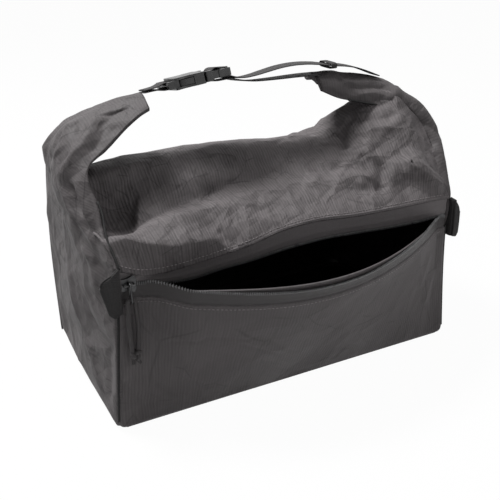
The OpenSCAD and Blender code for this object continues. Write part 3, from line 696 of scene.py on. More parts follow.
nx, nl = 260, 120
s, t = np.meshgrid(np.linspace(-1, 1, nx), np.linspace(0, 1, nl), indexing="ij")
guess = 133 * s
l = 0.4 + t * (seam_l(guess) + 3 + 10.5 * lean_share(guess) - 0.4)
reach = (right_edge(l[0]) - left_edge(l[0]))[None] / 2 - 0.4 - turned_in(l, 6)
x = (left_edge(l[0]) + right_edge(l[0]))[None] / 2 + s * reach
rolled = turned_in((1 - np.abs(s)) * 134, 3.2) + turned_in(l, 3.5)
belly = 1.8 * np.sin(np.pi * np.clip(l / seam_l(x), 0, 1)) * np.sqrt(np.clip(1 - s**2, 0, 1))
behind = -2.3 * smooth((l - seam_l(x) + 0.6) / 0.9)
calm = smooth((1 - np.abs(s)) * 10) * smooth((seam_l(x) - 2 - l) / 12) * smooth(l / 10)
push = 0.7 * facets(x, l, 52, 11) + 0.12 * facets(x, l, 21, 12)
front = facing(front_at(x, l, belly - rolled + behind + push * calm), (0, -1, 0))
front = folded(front, [
    (-0.45, 2.5, [(32, 67), (45, 68), (55, 68), (58, 71), (72, 69), (86, 65), (95, 69)]),
    (-0.4, 2.5, [(68, 76), (81, 62), (95, 54), (119, 39)]),
    (-0.35, 2.5, [(95, 69), (110, 54), (130, 38)]),
    (-0.7, 3, [(27, 35), (35, 28), (45, 18)]),
    (1.3, 9, [(273, 74), (262, 56), (255, 35)]),
    (0.9, 8, [(258, 88), (250, 70), (246, 56)]),
    (-1.5, 14, [(3, 44), (12, 31), (24, 11)]),
    (-0.4, 3, [(48, 57), (56, 33), (60, 8)]),
    (-0.4, 3, [(147, 66), (171, 47), (201, 15)])])
front_obj = cloth("front_cloth", front, thin, (finish["front"], finish["inside_shade"]))
settle(front_obj, "front_cloth", "bag", "front_panel")
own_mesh(front_obj)

# %% [markdown]
# ## The top
# The cloth above the zip rises to the roll and goes over it, all in one piece. It is loosely
# filled, so its shape changes all the way across: it sags behind the slider, stands up in
# the middle, and is drawn up to the right arm. A few front-to-back curves are measured, and
# the cloth is the smooth surface through them.

# %% Top and rolled mouth
top_x = [-138, -118, -90, -50, -12, 40, 70, 95, 115, 136]
top_v = [0, 10, 22, 34, 43, 72, 103, 116]
top_yz = [
    [(-76, 117), (-69, 125), (-61, 132), (-50, 135),
     (-36, 138), (-5, 155), (30, 150), (38, 140)],
    [(-76, 109.3), (-71, 121), (-60, 131.5), (-45, 132.5),
     (-31, 134), (-10, 156.5), (28, 151), (38, 139)],
    [(-76, 108.8), (-72, 120), (-59, 133), (-41, 138),
     (-28, 142.5), (-6, 159), (27, 152), (36, 138)],
    [(-76, 113), (-68.5, 122), (-55, 133), (-37, 139),
     (-28, 146), (0, 161), (27, 152), (34, 138)],
    [(-76, 120.5), (-67, 127), (-52, 134), (-28, 139.5),
     (-21, 146), (0, 160.5), (27, 151), (34, 137.5)],
    [(-76, 120), (-66, 127.5), (-50, 135.5), (-30, 142.5),
     (-18, 149), (2, 158), (27, 150), (34, 137.5)],
    [(-76, 119.2), (-66, 127), (-49, 136), (-31, 145),
     (-17, 153), (2, 161.5), (26, 154), (35, 139)],
    [(-76, 119.2), (-67, 128), (-53, 139), (-38, 151),
     (-22, 166), (0, 179), (26, 165), (38, 142)],
    [(-76, 119.1), (-67.5, 128), (-55, 141), (-41, 156),
     (-28, 172), (-4, 189), (28, 175), (44, 146)],
    [(-76, 119), (-68, 124), (-60, 130), (-45, 146),
     (-33, 159), (-20, 168), (20, 160), (44, 140)],
]
seam_x = [-139, -120, -105, -84, -61, -41.5, -17, 7.6, 47, 75, 126.5, 139]
seam_z = [118, 109.4, 107.9, 109.4, 111.6, 114.2, 119.9, 121.9, 119.6, 119, 119, 119]


def seam_at(x):
    """Height of the zip's upper seam."""
    return through(seam_x, seam_z, x)


nx, nv = 280, 150
xs, vs = np.linspace(-137.5, 137.0, nx), np.linspace(0, 116, nv)
curves = through(top_x, top_yz, xs)
yz = through(top_v, np.moveaxis(curves, 1, 0), vs)
top = np.concatenate([np.broadcast_to(xs, (nv, nx))[..., None], yz], -1).transpose(1, 0, 2).copy()
span = (xs - xs[0]) / (xs[-1] - xs[0])
left, right = left_edge(116 + 0.55 * vs), right_edge(118 + 0.55 * vs)
ends = left[None] + span[:, None] * (right - left)[None]
top[:, :, 0] += (ends - top[:, :, 0]) * (1 - smooth(vs / 40))[None]
top[:, :, 2] += (seam_at(xs) - top[:, 0, 2])[:, None] * (1 - smooth(vs / 20))[None]
top = facing(top, (0, -0.5, 1))
calm = smooth((vs - 4) / 14)[None] * smooth((138 - np.abs(xs)) / 10)[:, None]
busy = 0.35 + 0.85 * smooth((xs + 10) / 70)[:, None]
top = crumpled(top, [(34, 2.4, 21), (16, 1.1, 22), (7, 0.2, 23)], calm * busy)
top = folded(top, [
    (4.4, 14, [(2, 26), (17, 22), (28, 18), (44, 14), (62, 13), (80, 12)]),
    (-6.0, 16, [(4, 31), (16, 38), (27, 48), (38, 50), (48, 49), (68, 53), (91, 53), (118, 54)]),
    (-8.0, 26, [(2, 70), (12, 64), (22, 60), (34, 54)]),
    (1.6, 5, [(8, 75), (22, 77), (31, 81), (43, 87)]),
    (1.0, 5, [(92, 84), (106, 81), (121, 77)]),
    (1.0, 5, [(98, 80), (103, 70)]),
    (-1.6, 6, [(78, 18), (82, 10), (88, 2)]),
    (-1.8, 5, [(219, 84), (228, 72), (237, 67), (247, 64), (259, 66)]),
    (-3.5, 9, [(209, 80), (209, 66), (209, 58)]),
    (3.8, 15, [(213, 52), (228, 54), (238, 57), (252, 61), (262, 68)]),
    (4.2, 14, [(216, 52), (222, 48), (227, 38), (236, 33), (249, 30), (268, 38)]),
    (4.0, 13, [(193, 46), (200, 38), (208, 30), (221, 23)]),
    (2.6, 9, [(193, 45), (205, 45), (216, 46)]),
    (-2.0, 10, [(228, 40), (222, 26), (213, 18)]),
    (-2.4, 12, [(183, 24), (199, 21), (210, 19), (226, 19)]),
    (5.0, 13, [(239, 30), (254, 24), (264, 18), (285, 11)]),
    (-1.5, 9, [(244, 31), (241, 20), (235, 10)]),
    (-0.8, 4, [(163, 43), (174, 34), (183, 27), (188, 20)]),
    (2.6, 11, [(187, 69), (199, 63), (209, 57), (218, 49)]),
    (-0.7, 4, [(179, 14), (193, 10), (205, 5)])])
top_obj = cloth("top_cloth", top, thin, (finish["top"], finish["inside_shade"]))
settle(top_obj, "top_cloth", "bag", "upper_front_panel", "rolled_top")

# %% [markdown]
# ## The back
# The back panel comes down from the roll, turns over the bag's back edge and drops to the
# base. Like the other walls its edges are rolled under into the seams.

# %% Back panel
back_v = [0, 20, 32, 38, 46, 90, 130, 164]
back_yz = [(35, 139.5), (56, 134), (69, 131.8), (73.6, 128.5), (75.6, 121), (76.4, 80),
           (76.2, 40), (75.4, 0.5)]
nx, nv = 220, 130
xs, vs = np.linspace(-139.2, 139.2, nx), np.linspace(0, 164, nv)
profile = through(back_v, back_yz, vs)
back = np.concatenate([np.broadcast_to(xs[:, None, None], (nx, nv, 1)),
                       np.broadcast_to(profile, (nx, nv, 2))], -1)
back[..., 0] *= through([0, 85, 118, 140, 170], [1, 1, 0.985, 0.975, 0.97], back[..., 2])
back = facing(back, (0, 1, 0.2))
x, z = back[..., 0], back[..., 2]
inward = turned_in(140 - np.abs(x), 3.2) + turned_in(np.clip(z, 0, None), 3.0)
bulge = 1.6 * np.sin(np.pi * np.clip(z / 125, 0, 1)) * np.sqrt(np.clip(1 - (x / 140) ** 2, 0, 1))
back = back + normals(back) * (bulge - inward)[..., None]
calm = smooth((137 - np.abs(x)) / 14) * smooth(z / 12)
back = crumpled(back, [(44, 1.1, 31), (18, 0.4, 32)], calm)
back_obj = cloth("back_cloth", back, thin, (finish["side"], finish["inside_shade"]))
settle(back_obj, "side_cloth", "bag", "back_panel")

# %% [markdown]
# ## The base
# The base is a flat panel under the whole bag. It sits a little inside the walls, and its
# edges turn up into the bottom seam.

# %% Base panel
xs, ys = np.linspace(-138.2, 138.2, 120), np.linspace(-74.2, 74.2, 70)
x, y = np.meshgrid(xs, ys, indexing="ij")
to_end, to_side = 138.3 - np.abs(x), 74.3 - np.abs(y)
lift = turned_in(to_end, 3.0) + turned_in(to_side, 3.0) + 0.15 * facets(x, y, 40, 41)
base = np.stack([x * (1 - turned_in(to_side, 7) / 138), y * (1 - turned_in(to_end, 7) / 74),
                 0.25 + lift], -1)
base_obj = cloth("base_cloth", facing(base, (0, 0, -1)), 1.2, (finish["front"], finish["inside_shade"]))
settle(base_obj, "front_cloth", "bag", "base_panel")

# %% [markdown]
# ## The sides and the arms
# Each side wall and its arm are one length of cloth. It stands up the side of the bag, folds
# its edges in at the shoulder and narrows into a flat band that reaches over the bag. Cross-
# sections are measured up the cloth: its front edge, its middle and its back edge.

# %% Side cloths
left_rows = [
    [(-139.6, -75.6, 0.5), (-140, 0, 0.5), (-138.5, 75, 0.5)],
    [(-137.4, -76, 40), (-143, 0, 40), (-139.5, 76, 40)],
    [(-134.4, -76, 85), (-144, 0, 88), (-139, 76, 85)],
    [(-133.4, -76, 117), (-143, 0, 122), (-138, 76, 118)],
    [(-135, -63, 131), (-144, 0, 138), (-137, 74, 138)],
    [(-133, -50, 144), (-144, 8, 154), (-136, 67, 156)],
    [(-134, -36, 158), (-143, 12, 170), (-131, 56, 168)],
    [(-130.5, -29, 168), (-134, 12, 182), (-126, 48, 178)],
    [(-115, -21, 177), (-118, 12, 190), (-114, 40, 187)],
    [(-100, -16, 187.5), (-101, 12, 196), (-99, 33, 192)],
    [(-90, -14, 193.5), (-89, 9, 200), (-90, 28, 195)],
    [(-82.0, -11.5, 196.2), (-81, 5, 202.6), (-82, 22, 199)],
]
right_rows = [
    [(138.6, -75.6, 0.5), (139.6, -40, 0.5), (140, 0, 0.5), (138.5, 75, 0.5)],
    [(134.0, -76, 40), (138.5, -44, 40), (143, 0, 40), (139.5, 76, 40)],
    [(130.6, -72.6, 85), (136.5, -46, 86), (143.5, 0, 88), (139, 76, 85)],
    [(130.6, -72.6, 118), (137.5, -64, 119), (143, 0, 122), (138, 76, 118)],
    [(131, -62, 131), (143, -52, 133), (146, 0, 136), (138, 74, 134)],
    [(130, -45, 145), (146.5, -42, 148), (147, 0, 150), (137, 66, 150)],
    [(130, -34, 158), (147, -34, 161), (146, 2, 164), (134, 56, 163)],
    [(125.5, -24, 168), (138, -22, 178), (139, 4, 180), (128, 46, 176)],
    [(119, -19, 175), (126, -16, 185), (128, 6, 191), (118, 38, 187)],
    [(104, -15, 179), (107, -10, 191), (109, 6, 197.5), (104, 32, 193)],
    [(86, -10, 183), (87, -6, 195), (88, 6, 202), (86, 27, 196)],
    [(70, -7.5, 187), (70.5, -4, 198), (71, 6, 204.5), (70, 24, 199)],
    [(57, -6, 193), (56, -3, 200.5), (55.5, 7, 204.5), (57, 21, 201)],
]


def side_grid(rows, columns, nu, nv):
    """Smooth surface through the measured cross-sections: first up the cloth, then across
    it. `columns` says where across each measured point lies, from 0 to 1."""
    rows = np.asarray(rows, float)
    middle = rows[:, len(columns) // 2]
    run = run_along(middle)
    up = through(run, rows, np.linspace(0, run[-1], nu))
    across = through(columns, np.moveaxis(up, 1, 0), np.linspace(0, 1, nv))
    return np.moveaxis(across, 0, 1), np.linspace(0, run[-1], nu)


wall_run, arm_thick = 150, 5.5  # cloth up to where the arm starts, and the arm's layers


def side_cloth(name, rows, columns, out, parts, folds):
    """The wall and arm in one closed skin. Its thickness grows from one layer in the wall to
    the folded layers of the arm, and thins again towards both rolled edges."""
    grid, run = side_grid(rows, columns, 190, 96)
    grid = facing(grid, (out, 0, 0.4))
    v = np.linspace(-1, 1, grid.shape[1])[None]
    arm = smooth((run - wall_run) / 50)[:, None]
    inward = turned_in((1 - np.abs(v)) * 76, 3.0) * (1 - arm) + turned_in(run, 3.0)[:, None]
    grid[..., 1] *= 1 - turned_in(run, 6)[:, None] / 76
    grid = grid - normals(grid) * inward[..., None]
    ends = smooth(run / 12) * smooth((run[-1] + 6 - run) / 24)
    calm = smooth((1 - np.abs(v)) * 6) * ends[:, None] * (1 - 0.45 * arm)
    grid = folded(crumpled(grid, parts, calm), folds)
    layers = thin + (arm_thick - thin) * arm * np.sqrt(np.clip(1 - v**6, 0.0, 1))
    return cloth(name, grid, layers, (finish["side"], finish["side"])), grid


left_side, left_grid = side_cloth("left_side_cloth", left_rows, [0, 0.5, 1], -1,
    [(40, 2.6, 51), (18, 0.9, 52), (8, 0.22, 53)], [
        (3.0, 12, [(217, 52), (213, 45), (204, 32), (194, 23), (182, 26), (169, 39), (152, 60)]),
        (-1.3, 4, [(212, 48), (215, 44), (223, 37), (230, 34), (236, 26)]),
        (-1.2, 10, [(215, 36), (206, 17), (196, 9)]),
        (-2.0, 8, [(160, 88), (174, 59), (182, 57), (189, 64)]),
        (1.6, 7, [(169, 57), (179, 54), (187, 57), (200, 65)]),
        (2.4, 9, [(158, 46), (146, 39), (140, 30), (136, 22), (131, 14)]),
        (-1.8, 7, [(167, 29), (157, 27), (147, 21)]),
        (2.6, 9, [(174, 15), (162, 15), (152, 15), (142, 13), (135, 10)]),
        (3.4, 20, [(166, 150), (168, 120), (166, 92)]),
        (-1.4, 7, [(126, 83), (137, 49), (138, 29)]),
        (1.8, 9, [(123, 34), (115, 27), (106, 23), (98, 17)]),
        (-1.5, 7, [(118, 23), (116, 15), (113, 9)]),
        (-1.6, 9, [(172, 44), (184, 29)]),
        (1.4, 9, [(92, 64), (71, 60), (52, 56)]),
        (-1.0, 5, [(71, 40), (65, 23), (62, 4)]),
        (-0.9, 5, [(46, 56), (34, 46), (28, 26), (24, 8)]),
        (-1.0, 6, [(60, 14), (40, 12), (14, 13)])])
right_side, right_grid = side_cloth("right_side_cloth", right_rows, [0, 0.22, 0.5, 1], 1,
    [(34, 2.2, 61), (16, 0.9, 62), (8, 0.22, 63)], [
        (-3.0, 7, [(206, 114), (188, 113), (174, 112), (167, 109), (158, 107)]),
        (1.6, 6, [(219, 112), (213, 98), (206, 71)]),
        (1.8, 9, [(247, 107), (228, 101), (215, 106)]),
        (-2.0, 11, [(258, 98), (239, 99), (217, 86)]),
        (-1.5, 6, [(184, 110), (171, 100), (164, 94)])])


def bend(obj):
    """Bakes the piece's place into its mesh."""
    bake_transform(obj)


for obj, gusset, arm, x in ((left_side, "left_gusset", "left_arm", -0.14),
                            (right_side, "right_gusset", "right_arm", 0.14)):
    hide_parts(gusset, arm)
    bend(obj)

# %% [markdown]
# Where the cloths meet they are sewn edge to edge, and the seam sinks between their rolled
# edges as a dark line of shade. A near-black cord laid along it is painted shade for that line.
# It runs up both front corners, along the base, and on up the front edge of each side cloth to
# where the arm leaves the top. At the right corner it stops below the zip, which leaves the
# slider room at the end of its run.

# %% Seam lines
def seam(name, line, radius=0.9):
    """A near-black cord along a seam, as painted shade for the seam's groove."""
    skin, faces, flat = tube(line, radius, 8)
    obj = piece(name, skin, faces, flat, (finish["seam"],))
    return obj


up = np.linspace(7, 117, 60)
for name, edge, side, end in (("left_corner_seam", left_edge(up), 1, 118),
                              ("right_corner_seam", right_edge(up), -1, 97)):
    line = np.stack([edge + side * (1.0 + turned_in(up, 6)), -half_d + 1.3 + 0 * up, up], -1)
    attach(seam(name, line[up < end]), "bag")
across = np.linspace(-133, 131, 90)
line = np.stack([across, -half_d + 1.7 + 0 * across, 1.3 + 0 * across], -1)
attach(seam("base_front_seam", line), "bag")
for name, edge, end, x in (("left_shoulder_seam", left_grid[:, 0], 152, -0.14),
                           ("right_shoulder_seam", right_grid[:, -1], 186, 0.14)):
    edge = edge[(edge[:, 2] > 116) & (edge[:, 2] < end)]
    bend(seam(name, finer(edge[::4] + (0, -0.5, 0.2), 3), 0.8))

# %% [markdown]
# ## The zip
# It is a coil zip turned inside out, so what shows is two plain tapes and, along their edges,
# a fine row of teeth a little over a millimetre apart. The lower tape leans out with the
# front. The upper one hangs from the top's hem and dips behind it on the left. Each tape is
# a thin cloth between two curves, and each row repeats one small rounded tooth.

# %% Tapes
teeth_x = [-133, -121, -112, -100, -78, -59.5, -41, -21, -1, 19, 41, 83, 113, 121, 128]
teeth_z = [106, 106, 103.6, 100.6, 99.2, 101.5, 102.9, 105.8, 107.4, 108, 107.1, 105.1, 105.2,
           106, 106]


def teeth_at(x):
    """Height of the upper row of teeth, which starts at the slider and then sags."""
    return through(teeth_x, teeth_z, x)


def upper_at(x, z, out):
    """Place on the upper tape: it drops from the seam, and its sagging part hangs inwards."""
    slack = smooth((106 - teeth_at(x)) / 6) * np.clip((seam_at(x) - z) / 12, 0, 1)
    return np.stack([x, -half_d + 0.9 + 2.2 * slack - out, z], -1)


def teeth_l(x):
    """Length up the leaning front to the lower row of teeth."""
    return seam_l(x) + 8.3 + 1.4 * smooth((118 - np.abs(x)) / 8)


nx, nl = 240, 9
x, t = np.meshgrid(np.linspace(-131.6, 126.4, nx), np.linspace(0, 1, nl), indexing="ij")
ridge = 0.35 * np.exp(-((t - 0.36) * 9) ** 2) + 0.2 * waves(x, t * 9, 60, 71) * t
low_tape = front_at(x, seam_l(x) - 1.5 + t * (teeth_l(x) + 0.3 - seam_l(x) + 1.5), -0.75 + ridge)
low_tape = cloth("lower_zip_tape", facing(low_tape, (0, -1, 0.2)), 0.6, (finish["tape"],))
x, t = np.meshgrid(np.linspace(-132.0, 126.6, nx), np.linspace(0, 1, nl + 4), indexing="ij")
ridge = 0.35 * np.exp(-((t - 0.7) * 9) ** 2) + 0.3 * waves(x, t * 11, 50, 72) * t
high_tape = upper_at(x, seam_at(x) + 1.2 + t * (teeth_at(x) - seam_at(x) - 1.0), ridge)
high_tape = cloth("upper_zip_tape", facing(high_tape, (0, -1, 0)), 0.6,
                  (finish["band"], finish["tape"]))

# %% [markdown]
# A repeated shape is placed all at once. One template is turned and moved by a frame at each
# place, three directions and a point, which is a single product of arrays.

# %% Repeated shapes
def repeat(template, faces, places, along, out):
    """Copies of a small shape: its X goes along the row, its Z outwards and its Y across
    both. Returns all points and faces."""
    along = unit(along)
    out = unit(out - along * (out * along).sum(-1, keepdims=True))
    turn = np.stack([along, np.cross(out, along), out], -2)
    points = np.einsum("pk,nkc->npc", template, turn) + places[:, None]
    shift = (np.arange(len(places)) * len(template))[:, None, None]
    return points.reshape(-1, 3), (faces[None] + shift).reshape(-1, faces.shape[1])


def capsule(length, width, height):
    """A bar with rounded ends along X: rings that keep their radius along the middle and
    shrink quickly at each end."""
    sides, rows = 6, 4
    t = np.linspace(-1, 1, rows + 2)
    r = np.sqrt(np.clip(1 - np.abs(t) ** 3, 0.02, 1))
    a = 2 * np.pi * np.arange(sides) / sides
    ring = np.stack([np.broadcast_to(t[:, None] * length / 2, (rows + 2, sides)),
                     r[:, None] * np.cos(a) * width / 2, r[:, None] * np.sin(a) * height / 2], -1)
    index = ring_numbers(rows + 2, sides)
    lid = np.array([[0, 1, 2, 3], [0, 3, 4, 5]])
    lids = np.concatenate([lid, lid[:, ::-1] + index[-1, 0]])
    return ring.reshape(-1, 3), np.concatenate([quads(index)[:, ::-1], lids])


def teeth(name, node, at, up, x0):
    """A row of teeth, one every 1.27 mm from x0: a bar across the tape's edge at each step,
    with a rounded nose."""
    x = np.arange(x0, 126.0, 1.27)
    place, ahead, above = at(x, 0.0), at(x + 0.5, 0.0), at(x, 0.8)
    bar, faces = capsule(2.6, 0.82, 1.5)
    outwards = np.cross(above - place, ahead - place) * up
    points, faces = repeat(bar, faces, place, above - place, outwards)
    obj = piece(name, points, faces, materials=(finish["coil"],))
    settle(obj, "coil", "bag", node)
    print(f"{name}: {len(x)} teeth")
    return obj


low_row = teeth("lower_zip_teeth", "zip_coil_lower",
                lambda x, d: front_at(x, teeth_l(x) + 0.6 + d, -0.55), 1, -131.0)
teeth("upper_zip_teeth", "zip_coil_upper",
      lambda x, d: upper_at(x, teeth_at(x) - 0.6 - d, -0.1), -1, -130.4)
settle(low_tape, "tape", "bag", "zip_tape_lower")
settle(high_tape, "tape", "bag", "zip_tape_upper")
for obj in (low_tape, low_row):
    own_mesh(obj)

# %% [markdown]
# ## Stitching
# The seams are topstitched a few millimetres from their edges with a thick bonded thread.
# A stitch is a short bar that dives into the cloth at both ends, so it is a capsule half
# sunk in the surface.

# %% Stitch rows
def stitches(name, slot, line, out):
    """Stitches along a line of surface points with their outward directions."""
    pitch, length, thick = 2.7, 1.9, 0.55
    run = run_along(line)
    at = np.arange(pitch, run[-1] - pitch / 2, pitch)

    def along(values, at):
        """Values at distances along the line, straight between its points."""
        return np.stack([np.interp(at, run, values[:, k]) for k in range(3)], -1)

    place, face = along(line, at), along(out, at)
    bar, faces = capsule(length, thick, thick)
    ahead = along(line, at + 0.4) - place
    points, faces = repeat(bar, faces, place + 0.1 * unit(face), ahead, face)
    flat = np.tile(bar[:, :2] * 2, (len(place), 1))
    obj = piece(name, points, faces, flat, (finish["thread"],))
    settle(obj, slot, "bag")
    print(f"{name}: {len(place)} stitches")
    return obj


def row_of(grid, at):
    """The line of points, and its normals, that runs across a grid at `at` mm up it."""
    flat = lengths(grid)[0, :, 1]
    n, k = normals(grid), np.searchsorted(flat, at)
    w = (at - flat[k - 1]) / (flat[k] - flat[k - 1])
    return grid[:, k - 1] * (1 - w) + grid[:, k] * w, n[:, k]


from_hem = top if top[0, 0, 1] < top[0, -1, 1] else top[:, ::-1]
line, out = row_of(from_hem, 3.4)
stitches("upper_seam_stitches", "top_cloth", line, out * np.sign(-out[:, 1].mean()))

xs = np.linspace(-131, 125, 300)
line = front_at(xs, seam_l(xs) - 3.2, 0.12)
hem_stitch = stitches("lower_seam_stitches", "front_cloth", line,
                      front_at(xs, seam_l(xs) - 3.2, 1.0) - line)
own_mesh(hem_stitch)

# %% [markdown]
# ## The puller
# The cord is one length, doubled. Its middle is hitched through the foot of the wire, both
# strands hang down, and they are tied together in a single overhand knot, with the two cut
# ends sealed below it. The braid is round, so it is a tube; the knot is a tube along a
# trefoil, which is what an overhand knot is once its ends are joined.

# %% Cord, hitch and knot
def tied(name, points, radius, *stands_for, closed=False):
    """A tube in the cord's finish, carried by the puller."""
    skin, faces, flat = tube(points, radius, closed=closed)
    obj = piece(name, skin, faces, flat, (finish["cord"],))
    settle(obj, "cord", "pull", *stands_for)
    print(f"{name}: {len(faces)} faces")
    return obj


cord_r, knot_z = 1.5, bight_z - cord_drop
strands = finer(cord_points, 8)
pull_cord = tied("pull_cord", strands, cord_r, "pull_cord")
turn = np.linspace(-0.12, math.pi + 0.12, 30)
bight = np.stack([slider_x + bight_r * np.cos(turn), 0 * turn + foot_y,
                  bight_z + bight_r * np.sin(turn)], -1)
pull_hitch = tied("pull_hitch", bight, cord_r * (1 + 0.06 * np.sin(turn) ** 2), "pull_hitch")
t = np.linspace(0, 2 * np.pi, 90, endpoint=False)
trefoil = np.stack([np.sin(t) + 2 * np.sin(2 * t), 0.9 * np.sin(3 * t),
                    np.cos(t) - 2 * np.cos(2 * t)], -1)
knot_at = np.array([slider_x + 0.3, foot_y - 0.5, knot_z - 0.6])
pull_knot = tied("pull_knot", knot_at + trefoil * (0.92, 1.5, 1.0), 1.42, "pull_knot", closed=True)
ends = []
for k, s in enumerate((-1, 1)):
    end = finer(np.array([(s * 0.6, 0, -1.5), (s * 1.2, -0.3 * s, -4.2), (s * 2.3, -0.5, -6.6)]), 6)
    ends.append(tied(f"cord_end_{k}", knot_at + end, cord_r * np.linspace(1, 0.86, len(end))))

# %% [markdown]
# ## Webbing
# Everything that takes a load is woven webbing: the loop through the socket's bar, the strap
# from the right arm to the plug and its tail, the keeper on the tail, and the two tabs at
# the ends of the zip. A webbing is a ribbon with soft, slightly thicker edges.

# %% Ribbons
buckle_at, buckle_turn, buckle_slope = np.array([-37, 8, 209.0]), math.radians(-10), math.radians(8)


def from_buckle(points):
    """Places measured from the middle of the buckle's mouth, put where they are on the bag:
    turned about the buckle's length, then sloped, then moved."""
    p = np.asarray(points, float)
    y = p[..., 1] * math.cos(buckle_turn) - p[..., 2] * math.sin(buckle_turn)
    z = p[..., 1] * math.sin(buckle_turn) + p[..., 2] * math.cos(buckle_turn)
    c, s = math.cos(buckle_slope), math.sin(buckle_slope)
    return buckle_at + np.stack([p[..., 0] * c - z * s, y, p[..., 0] * s + z * c], -1)


def squarer(wave, power):
    """Pushes a sine or cosine out towards -1 and 1, so that a circle of them goes square:
    its size to a power below 1, with its sign kept."""
    return np.sign(wave) * np.abs(wave) ** power


def ribbon(name, line, side, width, thick, material, closed=False):
    """A flat band along a line, `width` across the direction `side`. Its section is a
    rounded rectangle whose edges, the selvedges, are a little fuller than the middle."""
    side = unit(np.broadcast_to(side, line.shape))
    up = unit(np.cross(tangents(line, closed), side))
    sides = 22
    a = 2 * np.pi * (np.arange(sides) + 0.5) / sides
    c, s = np.cos(a), np.sin(a)
    across = squarer(c, 0.42) * width / 2
    out = squarer(s, 0.6) * thick / 2 * (0.9 + 0.18 * np.abs(c) ** 3)
    ring = line[:, None] + across[:, None] * side[:, None] + out[:, None] * up[:, None]
    run = run_along(line)
    flat = np.stack(np.meshgrid(across, run), -1)
    obj = piece(name, ring.reshape(-1, 3), ring_faces(len(line), sides, closed),
                flat.reshape(-1, 2), (finish[material],))
    print(f"{name}: {run[-1]:.0f} mm of webbing")
    return obj


across_buckle = from_buckle((0, 1, 0)) - from_buckle((0, 0, 0))
web_w, web_t = 15.0, 1.15

# %% [markdown]
# The left webbing comes out of the arm, goes round the bar of the socket and back in.

# %% Left loop and the plug's wrap
def local_band(name, body, xz):
    """A ribbon through places given in the buckle's own plane."""
    points = finer(np.array([(x, 0, z) for x, z in xz], float), 6)
    obj = ribbon(name, from_buckle(points), across_buckle, web_w, web_t, "strap")
    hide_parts(name)
    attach(obj, body)


a, bar_r = np.radians(range(-75, 76, 25)), 2.35
bar = list(zip(-26.5 + bar_r * np.cos(a), bar_r * np.sin(a)))
local_band("left_web_loop", "handle", [
    (-43, -0.72), (-38, -0.8), (-33.5, -1.1), (-29.2, -2.2), *bar,
    (-29.2, 2.2), (-33.5, 1.1), (-38, 0.8), (-43, 0.72)])
local_band("strap_wrap", "plug", [
    (19.8, -5.2), (14.5, -5.0), (10.1, -4.7), (7.8, -3.9), (7.05, -2.2), (7.05, 2.2), (7.7, 3.3),
    (8.9, 4.0), (10.3, 4.2), (11.7, 4.0), (12.9, 3.3), (13.55, 2.2), (13.55, -1.6), (14.2, -2.8),
    (15.5, -3.4), (19.8, -3.5)])

# %% [markdown]
# The strap hangs between the plug and the right arm, and its tail rises above it, passes
# the keeper and lies down along the arm. Both are held flat to the buckle at one end and to
# the arm at the other, so they untwist on the way.

# %% Strap and tail
def hung(under, far, drops):
    """From the plug's end, `under` below its middle, to the far place: a straight line with
    one of the drops at each of the shares of the way."""
    start = from_buckle((20.0, 0, -under))
    t = np.linspace(0, 1, 70)
    x = start[0] + t * (far[0] - start[0])
    z = start[2] + t * (far[1] - start[2]) + through(shares, drops, t)
    return np.stack([x, 8 + 0 * t, z], -1), np.degrees(buckle_turn) * (1 - t)


def strap(name, line, roll):
    """Webbing along a line, turned by `roll` degrees, that starts at the plug, turned like it."""
    side = np.stack([0 * roll, np.cos(np.radians(roll)), np.sin(np.radians(roll))], -1)
    obj = ribbon(name, line, side, web_w, web_t, "strap")
    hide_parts(name)
    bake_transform(obj)


shares = (0, .07, .15, .26, .4, .55, .7, .85, 1)
line, roll = hung(5.2, (60, 203.3), (0, -1.2, -2.1, -2.7, -2.4, -1.7, -.9, -.3, 0))
strap("right_strap", line, roll)
line, roll = hung(3.5, (59, 211.2), (0, -1.7, -2.6, -2.2, -.6, 1.1, 1.8, 1.4, 0))
lying = np.array([line[-1], (70, 8, 209.5), (82, 8, 208.2), (92, 8, 206.2), (102, 8, 203),
                  (114, 8, 198.4)])
lying = finer(lying, 8)[1:]
strap("strap_tail", np.concatenate([line, lying]), np.concatenate([roll, np.zeros(len(lying))]))
a = np.linspace(0, 2 * np.pi, 60, endpoint=False)
c, s = np.cos(a), np.sin(a)
loop = np.stack([70 + 0 * a, 8 + 8.4 * squarer(c, 0.4), 209.5 + 2.0 * squarer(s, 0.5)], -1)
keeper = ribbon("strap_keeper", loop, (1, 0, 0), 5.2, 0.8, "strap", closed=True)
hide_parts("strap_keeper")
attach(keeper, "handle")

# %% [markdown]
# The tabs at the ends of the zip are wider webbing, folded over so that there is something
# to hold while the slider is pulled. Each is given by its four corners, two where it comes
# out of the seam and two on the fold; the fold's corners are rounded off.

